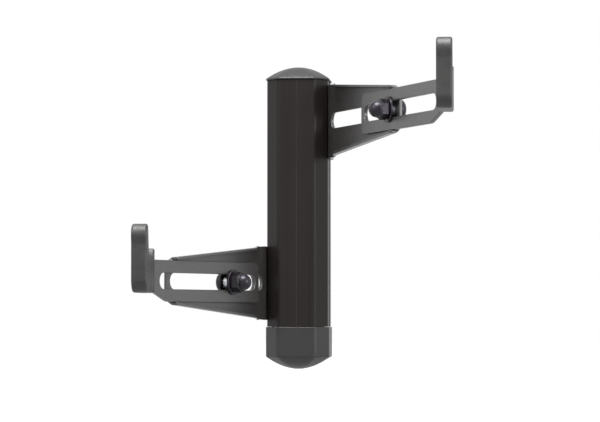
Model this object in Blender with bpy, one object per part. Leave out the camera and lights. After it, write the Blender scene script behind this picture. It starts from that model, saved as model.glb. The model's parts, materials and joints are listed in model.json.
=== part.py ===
# Wall rack that carries one bicycle by its top tube on two adjustable arms.
#
# Frame: +X to the right, +Y into the wall, +Z up, in metres.
# The origin is the middle of the wall rail's back face, so the wall is the plane Y = 0
# and every depth below is measured from it towards the room, along -Y.

import math

import bmesh
import bpy
from mathutils import Matrix, Vector

MM = 0.001

# Clearances
SEAT_GAP = 0.3 * MM            # between pieces that touch
TOOL_PAST = 1 * MM             # how far a cutting shape runs past the face it cuts

# Facets
ROUND_STEPS = 28               # sides of a round piece
SMALL_STEPS = 16               # sides of a small screw
HOLE_STEPS = 20                # sides of a screw hole
CORNER_STEP = math.radians(18)  # turn per facet of a rounded corner
BEND_STEPS = 4                 # facets of a fold

# Post: an aluminium extrusion, open at the back, with a T slot down each side
POST_WIDTH = 60 * MM
POST_DEPTH = 54 * MM
POST_SIDE_DEPTH = 40 * MM      # depth at which the side wall turns into the shoulder
POST_FRONT_WIDTH = 36 * MM     # flat front facet
POST_TOP = 134.6 * MM
POST_BOTTOM = -106.5 * MM
POST_WALL = 2.6 * MM
SHOULDER_RADIUS = 6 * MM
POST_EDGE = 1.5 * MM           # radius of the edges at the wall
INSIDE_FILLET = 0.8 * MM       # in the extrusion's inner corners
BACK_OPENING = 28 * MM         # gap between the two back lips
BACK_LIP = 3 * MM
PORT_RADIUS = 1.9 * MM         # screw port that the lock screws cut their thread in
PORT_WALL = 1.8 * MM
PORT_OVERLAP = 0.5 * MM        # how deep the port's ring is rooted in the slot's wall

# T slots
SLOT_DEPTH_POS = 22 * MM       # depth of the slot's middle from the wall
SLOT_OPENING = 8.6 * MM
SLOT_LIP = 2.5 * MM
SLOT_CAVITY_WIDTH = 17 * MM
SLOT_CAVITY_DEEP = 6.5 * MM
SLOT_FILLET = 0.6 * MM

# End caps
CAP_PROUD = 1.2 * MM           # how far a cap stands out past the post
CAP_WALL = 2.5 * MM
CAP_CROWN = 12 * MM
TOP_CAP_SKIRT = 1.6 * MM
BOTTOM_CAP_SKIRT = 29 * MM
CAP_PLUG = 8 * MM              # how far the top cap's collar reaches into the post
CAP_PLUG_RADIUS = 2 * MM
CROWN_RINGS = 6
CROWN_SPACING = 9 * MM         # longest step between two points round the crown

# Wall rail: a steel hat section that the post slides down over
RAIL_STEEL = 3 * MM
RAIL_BAND = 20 * MM            # middle band that lies on the wall
RAIL_WIDTH = 48 * MM
RAIL_TOP = 118 * MM
RAIL_FOLD = 1.5 * MM
RAIL_LEAN = 1.2 * MM           # offset that keeps the sloping webs as thick as the steel
RAIL_PLAY = 2 * MM             # beside the rail's flanges, inside the post
LEDGE_WIDTH = 54 * MM          # bent foot that the post stands on
LEDGE_DEPTH = 45 * MM
LEDGE_CORNER = 8 * MM

# Wall screws
WALL_SCREW_HEIGHTS = (-90 * MM, -32 * MM, 32 * MM, 90 * MM)
WALL_SCREW_RADIUS = 3 * MM
WALL_SCREW_LENGTH = 50 * MM    # under the head
WALL_SCREW_POINT = 7.5 * MM    # length of the tapered point
WALL_SCREW_TIP = 0.2           # radius of the point's end, as a share of the shank
WALL_HEAD_FLATS = 10 * MM
WALL_HEAD_HEIGHT = 4 * MM
HEAD_CHAMFER = 0.8 * MM
WALL_WASHER_RADIUS = 8 * MM
WALL_WASHER = 1.6 * MM

# Small screws under the post
LOCK_HEAD_RADIUS = 3.4 * MM
LOCK_HEAD_HEIGHT = 2.4 * MM
LOCK_LENGTH = 14 * MM
CAP_SCREW_RADIUS = 2 * MM
CAP_SCREW_HEAD_RADIUS = 3.6 * MM
CAP_SCREW_HEAD_HEIGHT = 2.6 * MM
CAP_SCREW_COUNTERBORE = 5 * MM
CAP_SCREW_PAST = 2 * MM        # how far the cap's screw comes through the rail's ledge
SCREW_TIP = 0.6                # radius of a screw's chamfered end, as a share of its shank
SCREW_CHAMFER = 1 * MM

# Brackets: folded steel, flat on the post's side and then splayed outwards
SPLAY = math.radians(25)
BRACKET_STEEL = 3 * MM
BRACKET_LENGTH = 180 * MM      # from the end of the bend to the tip
BRACKET_ROOT_HALF = 36 * MM
FOOT_BACK = 6 * MM             # depth at which the foot starts
FOOT_FRONT = 42 * MM           # depth at which the bend starts
BEND_RADIUS = 6 * MM           # inside the fold
RIM_HEIGHT = 6.5 * MM          # folded edges that guide the arm
RIM_STEEL = 2.5 * MM
RIM_START = 6 * MM
RIM_RAMP = 26 * MM
RIM_FOOT = 0.4 * MM            # height at which a rim starts
RIM_SET_IN = 0.05 * MM         # from the plate's edge
TIP_CHAMFER = 7 * MM
TIP_RADIUS = 2 * MM
FOOT_CORNER = 5 * MM
SLIDE_SLOT_HALF = 7.5 * MM
BRACKET_SLOT_INSET = 6 * MM    # steel left at either end of the slot

# Arms: flat bar with a long slot, bent back square to the wall and cut to a hook
ARM_STEEL = 4 * MM
ARM_HALF = 19.2 * MM
ARM_STRAIGHT = 195 * MM        # from the inner end to the bend
ARM_SLOT_INSET = 7 * MM        # steel left at the inner end
ARM_SLOT_TO_BEND = 16 * MM     # steel left before the bend
ARM_CORNER = 6 * MM
HOOK_REACH = 50 * MM           # from the bend to the middle of the lip
HOOK_LIP = 9 * MM              # lip's width in the bar
HOOK_LIP_TOP = 46 * MM         # above the arm's middle
HOOK_BOTTOM = -7.5 * MM
HOOK_LEAN = 4 * MM             # how far the lip's tip leans out
HOOK_LEAN_HEIGHT = 18 * MM
HOOK_UNDERCUT = 30 * MM        # stretch in which the lower edge climbs to the hook
HOOK_UNDERCUT_END = 2 * MM     # where the climb ends, short of the end of the bend
UNDERCUT_CURVE = 20 * MM       # radii where the climb starts and ends
UNDERCUT_END_CURVE = 14 * MM
HOOK_HEEL = 9 * MM             # radii round the hook's outline
HOOK_FRONT_CURVE = 10 * MM
HOOK_TIP = 4 * MM
HOOK_THROAT = 8 * MM
HOOK_INSIDE = 6 * MM

# Rubber cradle covers
RUBBER = 4 * MM
RUBBER_WIDTH = 14 * MM
RUBBER_FLOOR = 4.8 * MM        # thicker where the tube lies
RUBBER_REAR_RISE = 5 * MM      # low wall behind the tube
RUBBER_REAR = 4.5 * MM         # that wall's thickness at its top
RUBBER_START = 1 * MM          # past the end of the bend
RUBBER_EDGE = 2.4 * MM
RUBBER_UNDERSIDE = 3 * MM      # radii round the cover's outline
RUBBER_HEEL = 12 * MM
RUBBER_FRONT_CURVE = 12 * MM
RUBBER_TIP = 7.4 * MM
RUBBER_THROAT = 5 * MM
RUBBER_INSIDE = 7 * MM
RUBBER_RAMP = 6 * MM
RUBBER_REAR_TOP = 3 * MM
RUBBER_REAR_EDGE = 2 * MM

# Foot bolts and nut bars
FOOT_BOLT_SPACING = 40 * MM
FOOT_BOLT_RADIUS = 3 * MM
FOOT_HEAD_RADIUS = 5.3 * MM
FOOT_HEAD_HEIGHT = 3.3 * MM
FOOT_WASHER_RADIUS = 6.5 * MM
FOOT_WASHER = 1.2 * MM
FOOT_SOCKET = 2 * MM           # radius and depth of the head's hexagon socket
NUT_BAR_LENGTH = 58 * MM
NUT_BAR_THICK = 5 * MM
NUT_BAR_PLAY = 0.5 * MM        # either side of it in the slot
NUT_BAR_CORNER = 2 * MM

# Arm clamps
CLAMP_BOLT_RADIUS = 5 * MM
CLAMP_HEAD_RADIUS = 10 * MM
CLAMP_HEAD_HEIGHT = 5.5 * MM
CLAMP_SOCKET = 3 * MM
CLAMP_SOCKET_DEPTH = 3.4 * MM
CLAMP_THREAD = 11.5 * MM       # how deep the bolt reaches into the nut
CLAMP_WASHER = 2 * MM
OUTER_WASHER_RADIUS = 11 * MM
INNER_WASHER_RADIUS = 12 * MM
CAP_NUT_FLATS = 17 * MM
CAP_NUT_HEX_HEIGHT = 8 * MM
CAP_NUT_HEIGHT = 17 * MM
CAP_NUT_CHAMFER = 1 * MM
CAP_NUT_DOME = 7.9 * MM        # the dome's radius where it leaves the hexagon
CAP_NUT_DOME_RINGS = 6
CAP_NUT_POLE = 0.08            # share of a quarter turn at which the dome is closed

# How the two arms are set: the left one low and nearly pushed in, the right one high and out
ARM_OVERLAP = 83.8 * MM        # length of an arm that stays in its bracket when it is out
ARM_TRAVEL = 80 * MM
LEFT_ABOVE_LOWEST = 5.9 * MM
RIGHT_BELOW_HIGHEST = 4 * MM
LEFT_PULLED_OUT = 3.2 * MM
LEFT_CLAMP = 69 * MM           # along the bracket from the end of its bend
RIGHT_CLAMP_INSET = 15 * MM    # from the bracket's tip
HEIGHT_PLAY = 0.6 * MM         # between a bracket at the end of its travel and the cap or ledge

# Finishes: colour, roughness, metallic
FINISHES = {
    "anodised_black": ((0.030, 0.026, 0.026), 0.42, 0.6),
    "cap_plastic": ((0.045, 0.042, 0.042), 0.45, 0.0),
    "powder_coat": ((0.060, 0.058, 0.057), 0.5, 0.2),
    "rubber": ((0.035, 0.035, 0.036), 0.62, 0.0),
    "zinc_steel": ((0.55, 0.55, 0.56), 0.35, 0.9),
    "black_steel": ((0.030, 0.030, 0.034), 0.38, 0.8),
}

# Sizes that follow from the ones above
POST_SIDE = POST_WIDTH / 2
FOOT_PLANE = POST_SIDE + SEAT_GAP
BRACKET_BEND = BEND_RADIUS + BRACKET_STEEL       # radius of the bracket's inner face
ARM_INNER = SEAT_GAP                             # arm's faces, off the bracket's inner face
ARM_OUTER = SEAT_GAP + ARM_STEEL
ARM_MIDDLE = SEAT_GAP + ARM_STEEL / 2
ARM_BEND = BEND_RADIUS + ARM_STEEL / 2           # radius of the arm's middle
BRACKET_TIP_HALF = ARM_HALF + SEAT_GAP + RIM_STEEL
SLEEVE_RADIUS = SLIDE_SLOT_HALF - SEAT_GAP
RAIL_FLANGE = BACK_LIP + SEAT_GAP + SEAT_GAP     # depth of the rail flanges' back
HOLLOW_BACK = RAIL_FLANGE + RAIL_STEEL + SEAT_GAP
LOWEST = POST_BOTTOM + BRACKET_ROOT_HALF + HEIGHT_PLAY
HIGHEST = POST_TOP - BRACKET_ROOT_HALF - HEIGHT_PLAY
OUT = BRACKET_LENGTH + ARM_STRAIGHT - ARM_OVERLAP    # the arm's bend, along the bracket
ARM_SETTINGS = {
    "left": {
        "side": -1,
        "height": LOWEST + LEFT_ABOVE_LOWEST,
        "reach": OUT - ARM_TRAVEL + LEFT_PULLED_OUT,
        "clamp": LEFT_CLAMP,
    },
    "right": {
        "side": 1,
        "height": HIGHEST - RIGHT_BELOW_HIGHEST,
        "reach": OUT,
        "clamp": BRACKET_LENGTH - RIGHT_CLAMP_INSET,
    },
}
SLOT_FLOOR = POST_SIDE - SLOT_LIP - SLOT_CAVITY_DEEP
HOLLOW_HALF = SLOT_FLOOR - POST_WALL
SHOULDER_TURN = math.atan2(POST_SIDE - POST_FRONT_WIDTH / 2, POST_DEPTH - POST_SIDE_DEPTH)
SHOULDER_INSET = POST_WALL * math.tan(SHOULDER_TURN / 2)   # keeps the shoulder's wall even
FRONT_INSET = POST_WALL * math.tan(math.pi / 4 - SHOULDER_TURN / 2)
SLOT_BACK = SLOT_DEPTH_POS + SLOT_CAVITY_WIDTH / 2 + POST_WALL
PORT_X = POST_SIDE - POST_WALL - PORT_RADIUS - PORT_WALL + PORT_OVERLAP
PORT_DEPTH = SLOT_BACK + PORT_RADIUS + PORT_WALL - PORT_OVERLAP


def clear_scene():
    for item in list(bpy.data.objects):
        bpy.data.objects.remove(item, do_unlink=True)


def make_finish(name):
    colour, roughness, metallic = FINISHES[name]
    finish = bpy.data.materials.new(name)
    finish.use_nodes = True
    shader = finish.node_tree.nodes["Principled BSDF"]
    shader.inputs["Base Color"].default_value = (*colour, 1.0)
    shader.inputs["Roughness"].default_value = roughness
    shader.inputs["Metallic"].default_value = metallic
    finish.diffuse_color = (*colour, 1.0)
    return finish


def make_empty(name, place, parent=None):
    empty = bpy.data.objects.new(name, None)
    bpy.context.scene.collection.objects.link(empty)
    empty.location = place
    if parent is not None:
        empty.parent = parent
        empty.location = Vector(place) - world_place(parent)
    return empty


def world_place(item):
    place = Vector((0, 0, 0))
    while item is not None:
        place += item.location
        item = item.parent
    return place


def make_node(name, shape, finish, parent):
    """A shape in world coordinates becomes an object whose origin is its parent's place."""
    origin = world_place(parent)
    bmesh.ops.remove_doubles(shape, verts=shape.verts, dist=1e-6)
    bmesh.ops.dissolve_degenerate(shape, edges=shape.edges, dist=1e-6)
    bmesh.ops.recalc_face_normals(shape, faces=shape.faces)
    bmesh.ops.translate(shape, verts=shape.verts, vec=-origin)
    mesh = bpy.data.meshes.new(name)
    shape.to_mesh(mesh)
    shape.free()
    mesh.materials.append(finish)
    mesh.shade_smooth()
    mesh.set_sharp_from_angle(angle=math.radians(32))
    item = bpy.data.objects.new(name, mesh)
    bpy.context.scene.collection.objects.link(item)
    item.parent = parent
    return item


def rounded(corners):
    """Points of a closed outline whose corners (a, b, radius) are turned into arcs."""
    points = []
    count = len(corners)
    for index in range(count):
        a, b, radius = corners[index]
        here = Vector((a, b))
        if radius <= 0:
            points.append(here)
            continue
        before = Vector(corners[index - 1][:2]) - here
        after = Vector(corners[(index + 1) % count][:2]) - here
        turn = math.pi - before.angle(after)
        reach = radius * math.tan(turn / 2)
        start = here + before.normalized() * reach
        end = here + after.normalized() * reach
        middle = here + (before.normalized() + after.normalized()).normalized() * (
            radius / math.cos(turn / 2)
        )
        steps = max(1, round(turn / CORNER_STEP))
        first = start - middle
        swing = first.angle_signed(end - middle)
        for step in range(steps + 1):
            arm = first.copy()
            arm.rotate(Matrix.Rotation(-swing * step / steps, 2))
            points.append(middle + arm)
    return points


def prism(outline, low, high, place):
    """An outline (a, b) with a thickness from low to high, carried into the world by place."""
    shape = bmesh.new()
    rings = []
    for level in (low, high):
        rings.append([shape.verts.new(place(point[0], point[1], level)) for point in outline])
    shape.faces.new(rings[0])
    shape.faces.new(list(reversed(rings[1])))
    count = len(outline)
    for index in range(count):
        after = (index + 1) % count
        shape.faces.new((rings[0][index], rings[1][index], rings[1][after], rings[0][after]))
    bmesh.ops.recalc_face_normals(shape, faces=shape.faces)
    return shape


def loft(rings):
    """Rings with equally many points, joined in turn; the first and last are filled."""
    shape = bmesh.new()
    loops = [[shape.verts.new(point) for point in ring] for ring in rings]
    shape.faces.new(loops[0])
    shape.faces.new(list(reversed(loops[-1])))
    count = len(rings[0])
    for lower, upper in zip(loops, loops[1:]):
        for index in range(count):
            after = (index + 1) % count
            shape.faces.new((lower[index], upper[index], upper[after], lower[after]))
    bmesh.ops.recalc_face_normals(shape, faces=shape.faces)
    return shape


def turned(profile, place, sides=ROUND_STEPS):
    """A profile (along, radius) turned round an axis; it runs from one end to the other."""
    rings = []
    for along, radius in profile:
        ring = []
        for step in range(sides):
            angle = 2 * math.pi * step / sides
            ring.append(place(along, radius * math.cos(angle), radius * math.sin(angle)))
        rings.append(ring)
    return loft(rings)


def combine(base, tool, operation):
    """The base shape with the tool shape cut out of it or joined to it."""
    pair = []
    for shape in (base, tool):
        mesh = bpy.data.meshes.new("working")
        shape.to_mesh(mesh)
        shape.free()
        item = bpy.data.objects.new("working", mesh)
        bpy.context.scene.collection.objects.link(item)
        pair.append(item)
    change = pair[0].modifiers.new("change", "BOOLEAN")
    change.operation = operation
    change.solver = "EXACT"
    change.object = pair[1]
    graph = bpy.context.evaluated_depsgraph_get()
    result = bmesh.new()
    result.from_mesh(pair[0].evaluated_get(graph).to_mesh())
    for item in pair:
        bpy.data.objects.remove(item, do_unlink=True)
    return result


def cut(base, tool):
    return combine(base, tool, "DIFFERENCE")


def join(base, tool):
    return combine(base, tool, "UNION")


def box(half, low, high, radius):
    """The corners of a rectangle between two depths or heights, for rounded()."""
    return [(half, low, radius), (half, high, radius), (-half, high, radius), (-half, low, radius)]


def washer(place, low, high, inner, outer, sides=ROUND_STEPS):
    """A flat ring round an axis."""
    shape = bmesh.new()
    loops = []
    for along, radius in ((low, inner), (low, outer), (high, outer), (high, inner)):
        loop = []
        for step in range(sides):
            angle = 2 * math.pi * step / sides
            loop.append(shape.verts.new(place(along, radius * math.cos(angle), radius * math.sin(angle))))
        loops.append(loop)
    for lower, upper in zip(loops, loops[1:] + loops[:1]):
        for index in range(sides):
            after = (index + 1) % sides
            shape.faces.new((lower[index], upper[index], upper[after], lower[after]))
    bmesh.ops.recalc_face_normals(shape, faces=shape.faces)
    return shape


def button(seat, radius, height, socket):
    """Profile of a domed head on its seat; it ends in a flat ring round its socket."""
    land = socket + HEAD_CHAMFER
    steps = 4
    profile = []
    for step in range(steps + 1):
        angle = math.pi / 2 * step / steps
        profile.append((seat + height * math.sin(angle), land + (radius - land) * math.cos(angle)))
    return profile


def socket_cut(shape, place, face, radius, depth):
    """A hexagon socket sunk from a head's face; a negative depth sinks it the other way."""
    past = math.copysign(TOOL_PAST, depth)
    return cut(shape, turned([(face + past, radius), (face - depth, radius)], place, 6))


# Places: from a shape's own coordinates to the world

def upright(x, depth, z):
    """Width, depth from the wall and height."""
    return Vector((x, -depth, z))


def from_wall(x, z):
    """A round piece whose axis is square to the wall at this width and height."""
    return lambda along, a, b: Vector((x + a, -along, z + b))


def from_below(x, depth):
    """A round piece whose axis is upright."""
    return lambda along, a, b: Vector((x + a, -depth + b, along))


def from_side(side, depth, z):
    """A round piece whose axis is square to the post's side, measured from its middle."""
    return lambda along, a, b: Vector((side * along, -depth + a, z + b))


def arm_frame(side, z):
    """Places along the splayed bracket: along from the bend, off its inner face, height."""
    start_x = FOOT_PLANE + BRACKET_BEND * (1 - math.cos(SPLAY))
    start_depth = FOOT_FRONT + BRACKET_BEND * math.sin(SPLAY)

    def place(along, off, height):
        x = start_x + along * math.sin(SPLAY) - off * math.cos(SPLAY)
        depth = start_depth + along * math.cos(SPLAY) + off * math.sin(SPLAY)
        return Vector((side * x, -depth, z + height))

    return place


def across_arm(frame, along):
    """A round piece whose axis is square to the arm's plate."""
    return lambda off, a, b: frame(along + a, off, b)


def fold(shape, cuts, place):
    """Cuts a flat shape (along, off, height) across its bend and folds it by place."""
    for level in cuts:
        everything = list(shape.verts) + list(shape.edges) + list(shape.faces)
        bmesh.ops.bisect_plane(
            shape, geom=everything, dist=1e-7, plane_co=(level, 0, 0), plane_no=(1, 0, 0)
        )
    for vert in shape.verts:
        vert.co = place(*vert.co)
    return shape


def flat(along, height, off):
    """The unfolded sheet: along, off, height."""
    return Vector((along, off, height))


def through_sheet(along, height):
    """A round piece whose axis is square to the unfolded sheet."""
    return lambda off, a, b: flat(along + a, height + b, off)


# Post

def post_outline(grow, back):
    """The closed outline round the post: grow widens it, back is its depth at the wall."""
    side = POST_SIDE + grow
    half = [
        (side, back, POST_EDGE),
        (side, POST_SIDE_DEPTH, SHOULDER_RADIUS),
        (POST_FRONT_WIDTH / 2 + grow / 2, POST_DEPTH + grow, SHOULDER_RADIUS),
    ]
    return rounded(half + [(-x, depth, radius) for x, depth, radius in reversed(half)])


def post_shape():
    lip_in = POST_SIDE - SLOT_LIP
    open_low = SLOT_DEPTH_POS - SLOT_OPENING / 2
    open_high = SLOT_DEPTH_POS + SLOT_OPENING / 2
    cavity_low = SLOT_DEPTH_POS - SLOT_CAVITY_WIDTH / 2
    cavity_high = SLOT_DEPTH_POS + SLOT_CAVITY_WIDTH / 2
    pocket = POST_SIDE - POST_WALL
    channel = RAIL_WIDTH / 2 + RAIL_PLAY
    turn = SHOULDER_RADIUS - POST_WALL
    outer = [
        (BACK_OPENING / 2, SEAT_GAP, 0),
        (POST_SIDE, SEAT_GAP, POST_EDGE),
        (POST_SIDE, open_low, INSIDE_FILLET),
        (lip_in, open_low, 0),
        (lip_in, cavity_low, 0),
        (SLOT_FLOOR, cavity_low, SLOT_FILLET),
        (SLOT_FLOOR, cavity_high, SLOT_FILLET),
        (lip_in, cavity_high, 0),
        (lip_in, open_high, 0),
        (POST_SIDE, open_high, INSIDE_FILLET),
        (POST_SIDE, POST_SIDE_DEPTH, SHOULDER_RADIUS),
        (POST_FRONT_WIDTH / 2, POST_DEPTH, SHOULDER_RADIUS),
    ]
    inner = [
        (POST_FRONT_WIDTH / 2 - FRONT_INSET, POST_DEPTH - POST_WALL, turn),
        (pocket, POST_SIDE_DEPTH - SHOULDER_INSET, turn),
        (pocket, SLOT_BACK, INSIDE_FILLET),
        (HOLLOW_HALF, SLOT_BACK, INSIDE_FILLET),
        (HOLLOW_HALF, HOLLOW_BACK, INSIDE_FILLET),
        (channel, HOLLOW_BACK, SLOT_FILLET),
        (channel, BACK_LIP + SEAT_GAP, SLOT_FILLET),
        (BACK_OPENING / 2, BACK_LIP + SEAT_GAP, 0),
    ]
    left_outer = [(-x, depth, radius) for x, depth, radius in reversed(outer)]
    left_inner = [(-x, depth, radius) for x, depth, radius in reversed(inner)]
    shape = prism(rounded(outer + left_outer + left_inner + inner), POST_BOTTOM, POST_TOP, upright)
    for side in (-1, 1):
        place = from_below(side * PORT_X, PORT_DEPTH)
        radius = PORT_RADIUS + PORT_WALL
        shape = join(shape, turned([(POST_BOTTOM, radius), (POST_TOP, radius)], place, SMALL_STEPS))
        bore = [(POST_BOTTOM - TOOL_PAST, PORT_RADIUS), (POST_TOP + TOOL_PAST, PORT_RADIUS)]
        shape = cut(shape, turned(bore, place, SMALL_STEPS))
    return shape


# Wall rail and its screws

def rail_shape():
    foot = POST_BOTTOM - SEAT_GAP - RAIL_STEEL
    band = RAIL_BAND / 2
    web = band + RAIL_FLANGE
    back = [
        (band, 0, RAIL_FOLD),
        (web, RAIL_FLANGE, RAIL_FOLD),
        (RAIL_WIDTH / 2, RAIL_FLANGE, 0),
    ]
    front = [
        (RAIL_WIDTH / 2, RAIL_FLANGE + RAIL_STEEL, 0),
        (web - RAIL_LEAN, RAIL_FLANGE + RAIL_STEEL, RAIL_FOLD),
        (band - RAIL_LEAN, RAIL_STEEL, RAIL_FOLD),
    ]
    right = back + front
    corners = right + [(-x, depth, radius) for x, depth, radius in reversed(right)]
    shape = prism(rounded(corners), foot, RAIL_TOP, upright)
    half = LEDGE_WIDTH / 2
    ledge = [
        (-half, 0, 0),
        (half, 0, 0),
        (half, LEDGE_DEPTH, LEDGE_CORNER),
        (-half, LEDGE_DEPTH, LEDGE_CORNER),
    ]
    shape = join(shape, prism(rounded(ledge), foot, foot + RAIL_STEEL, upright))
    hole = WALL_SCREW_RADIUS + SEAT_GAP
    for height in WALL_SCREW_HEIGHTS:
        drill = [(-TOOL_PAST, hole), (RAIL_STEEL + TOOL_PAST, hole)]
        shape = cut(shape, turned(drill, from_wall(0, height), HOLE_STEPS))
    hole = CAP_SCREW_RADIUS + SEAT_GAP
    for x, depth in ((-PORT_X, PORT_DEPTH), (PORT_X, PORT_DEPTH), (0, POST_DEPTH / 2)):
        drill = [(foot - TOOL_PAST, hole), (foot + RAIL_STEEL + TOOL_PAST, hole)]
        shape = cut(shape, turned(drill, from_below(x, depth), SMALL_STEPS))
    return shape


def wall_screw_shape(height):
    place = from_wall(0, height)
    seat = RAIL_STEEL + WALL_WASHER + 2 * SEAT_GAP
    tip = seat - WALL_SCREW_LENGTH
    shank = [
        (tip, WALL_SCREW_RADIUS * WALL_SCREW_TIP),
        (tip + WALL_SCREW_POINT, WALL_SCREW_RADIUS),
        (seat + TOOL_PAST, WALL_SCREW_RADIUS),
    ]
    corner = WALL_HEAD_FLATS / math.sqrt(3)
    head = [
        (seat, corner),
        (seat + WALL_HEAD_HEIGHT - HEAD_CHAMFER, corner),
        (seat + WALL_HEAD_HEIGHT, corner - HEAD_CHAMFER),
    ]
    return join(turned(head, place, 6), turned(shank, place, SMALL_STEPS))


def wall_washer_shape(height):
    low = RAIL_STEEL + SEAT_GAP
    inner = WALL_SCREW_RADIUS + SEAT_GAP
    return washer(from_wall(0, height), low, low + WALL_WASHER, inner, WALL_WASHER_RADIUS)


def lock_screw_shape(side):
    place = from_below(side * PORT_X, PORT_DEPTH)
    seat = POST_BOTTOM - 2 * SEAT_GAP - RAIL_STEEL
    radius = PORT_RADIUS - SEAT_GAP
    profile = [
        (seat - LOCK_HEAD_HEIGHT, LOCK_HEAD_RADIUS - HEAD_CHAMFER),
        (seat - LOCK_HEAD_HEIGHT + HEAD_CHAMFER, LOCK_HEAD_RADIUS),
        (seat, LOCK_HEAD_RADIUS),
        (seat, radius),
        (seat + LOCK_LENGTH - SCREW_CHAMFER, radius),
        (seat + LOCK_LENGTH, radius * SCREW_TIP),
    ]
    return turned(profile, place, SMALL_STEPS)


# End caps

def spaced(outline, longest):
    """The outline with points added evenly on the sides that are longer than a step."""
    points = []
    for index, point in enumerate(outline):
        after = outline[(index + 1) % len(outline)]
        count = max(1, math.ceil((after - point).length / longest))
        points += [point.lerp(after, step / count) for step in range(count)]
    return points


def crown(outline, mouth, skirt, height, direction):
    """Rings of a cap from its mouth over the straight skirt to the crown's middle.

    The rings shrink by the cosine of a quarter turn and turn from the outline into an
    ellipse on the way, so the crown is an arch from every side and has no creases.
    """
    points = spaced(outline, CROWN_SPACING)
    wide = max(point.x for point in points)
    near = min(point.y for point in points)
    far = max(point.y for point in points)
    middle = Vector((0, (near + far) / 2))
    rings = [[upright(point.x, point.y, mouth) for point in points]]
    for step in range(CROWN_RINGS):
        share = math.cos(math.pi / 2 * step / CROWN_RINGS)
        rise = skirt + height * (1 - share * share)
        ring = []
        for point in points:
            arm = point - middle
            oval = arm / math.hypot(arm.x / wide, arm.y / (far - middle.y))
            spot = middle + oval.lerp(arm, share) * share
            ring.append(upright(spot.x, spot.y, mouth + direction * rise))
        rings.append(ring)
    return rings


def top_cap_shape():
    mouth = POST_TOP + SEAT_GAP
    shape = loft(crown(post_outline(CAP_PROUD, SEAT_GAP), mouth, TOP_CAP_SKIRT, CAP_CROWN, 1))
    half = HOLLOW_HALF - SEAT_GAP
    back = HOLLOW_BACK + CAP_WALL
    front = POST_DEPTH - POST_WALL - 2 * CAP_WALL
    low = POST_TOP - CAP_PLUG
    collar = prism(rounded(box(half, back, front, CAP_PLUG_RADIUS)), low, mouth + TOP_CAP_SKIRT, upright)
    bore = box(half - CAP_WALL, back + CAP_WALL, front - CAP_WALL, CAP_PLUG_RADIUS / 2)
    collar = cut(collar, prism(rounded(bore), low - TOOL_PAST, mouth + CAP_WALL, upright))
    return join(shape, collar)


def bottom_cap_shape():
    mouth = POST_BOTTOM - SEAT_GAP
    ledge = mouth - RAIL_STEEL
    middle = POST_DEPTH / 2
    shape = loft(crown(post_outline(CAP_PROUD, SEAT_GAP), mouth, BOTTOM_CAP_SKIRT, CAP_CROWN, -1))
    inside = post_outline(CAP_PROUD - CAP_WALL, SEAT_GAP + CAP_WALL)
    inner_crown = CAP_CROWN - CAP_WALL
    room = crown(inside, mouth + TOOL_PAST, BOTTOM_CAP_SKIRT + TOOL_PAST, inner_crown, -1)
    shape = cut(shape, loft(room))
    floor = mouth - BOTTOM_CAP_SKIRT - inner_crown
    half = LEDGE_WIDTH / 2 + 2 * SEAT_GAP
    notch = rounded(box(half, -TOOL_PAST, SEAT_GAP + 2 * CAP_WALL, 0))
    shape = cut(shape, prism(notch, ledge - 2 * SEAT_GAP, mouth + TOOL_PAST, upright))
    place = from_below(0, middle)
    head = CAP_SCREW_HEAD_RADIUS + SEAT_GAP
    boss = [(floor - TOOL_PAST, head + CAP_WALL), (ledge - SEAT_GAP, head + CAP_WALL)]
    shape = join(shape, turned(boss, place))
    pole = mouth - BOTTOM_CAP_SKIRT - CAP_CROWN
    bore = CAP_SCREW_RADIUS + SEAT_GAP
    drill = [
        (pole - TOOL_PAST, head),
        (pole + CAP_SCREW_COUNTERBORE, head),
        (pole + CAP_SCREW_COUNTERBORE, bore),
        (mouth, bore),
    ]
    return cut(shape, turned(drill, place, HOLE_STEPS))


def cap_screw_shape():
    mouth = POST_BOTTOM - SEAT_GAP
    seat = mouth - BOTTOM_CAP_SKIRT - CAP_CROWN + CAP_SCREW_COUNTERBORE - SEAT_GAP
    profile = [
        (seat - CAP_SCREW_HEAD_HEIGHT, CAP_SCREW_HEAD_RADIUS - HEAD_CHAMFER),
        (seat - CAP_SCREW_HEAD_HEIGHT + HEAD_CHAMFER, CAP_SCREW_HEAD_RADIUS),
        (seat, CAP_SCREW_HEAD_RADIUS),
        (seat, CAP_SCREW_RADIUS),
        (mouth + CAP_SCREW_PAST, CAP_SCREW_RADIUS),
        (mouth + CAP_SCREW_PAST + SCREW_CHAMFER, CAP_SCREW_RADIUS * SCREW_TIP),
    ]
    return turned(profile, from_below(0, POST_DEPTH / 2), SMALL_STEPS)


# Brackets

def bracket_place(side, z):
    """Folds the flat bracket: the foot lies on the post's side, the rest is splayed."""
    frame = arm_frame(side, z)
    arc = BRACKET_BEND * SPLAY

    def place(along, off, height):
        if along >= 0:
            return frame(along, off, height)
        if along <= -arc:
            return Vector((side * (FOOT_PLANE - off), -(FOOT_FRONT + along + arc), z + height))
        angle = (along + arc) / BRACKET_BEND
        x = FOOT_PLANE + BRACKET_BEND - (BRACKET_BEND + off) * math.cos(angle)
        depth = FOOT_FRONT + (BRACKET_BEND + off) * math.sin(angle)
        return Vector((side * x, -depth, z + height))

    return place


def slot_outline(start, end, half):
    """A slot with round ends."""
    points = []
    steps = SMALL_STEPS // 2
    for middle, first in ((end - half, -math.pi / 2), (start + half, math.pi / 2)):
        for step in range(steps + 1):
            angle = first + math.pi * step / steps
            points.append(Vector((middle + half * math.cos(angle), half * math.sin(angle))))
    return points


def bracket_edge(along):
    """Half the bracket's height at a distance from its bend."""
    taper = BRACKET_LENGTH - TIP_CHAMFER
    return BRACKET_ROOT_HALF + (BRACKET_TIP_HALF - BRACKET_ROOT_HALF) * along / taper


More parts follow.
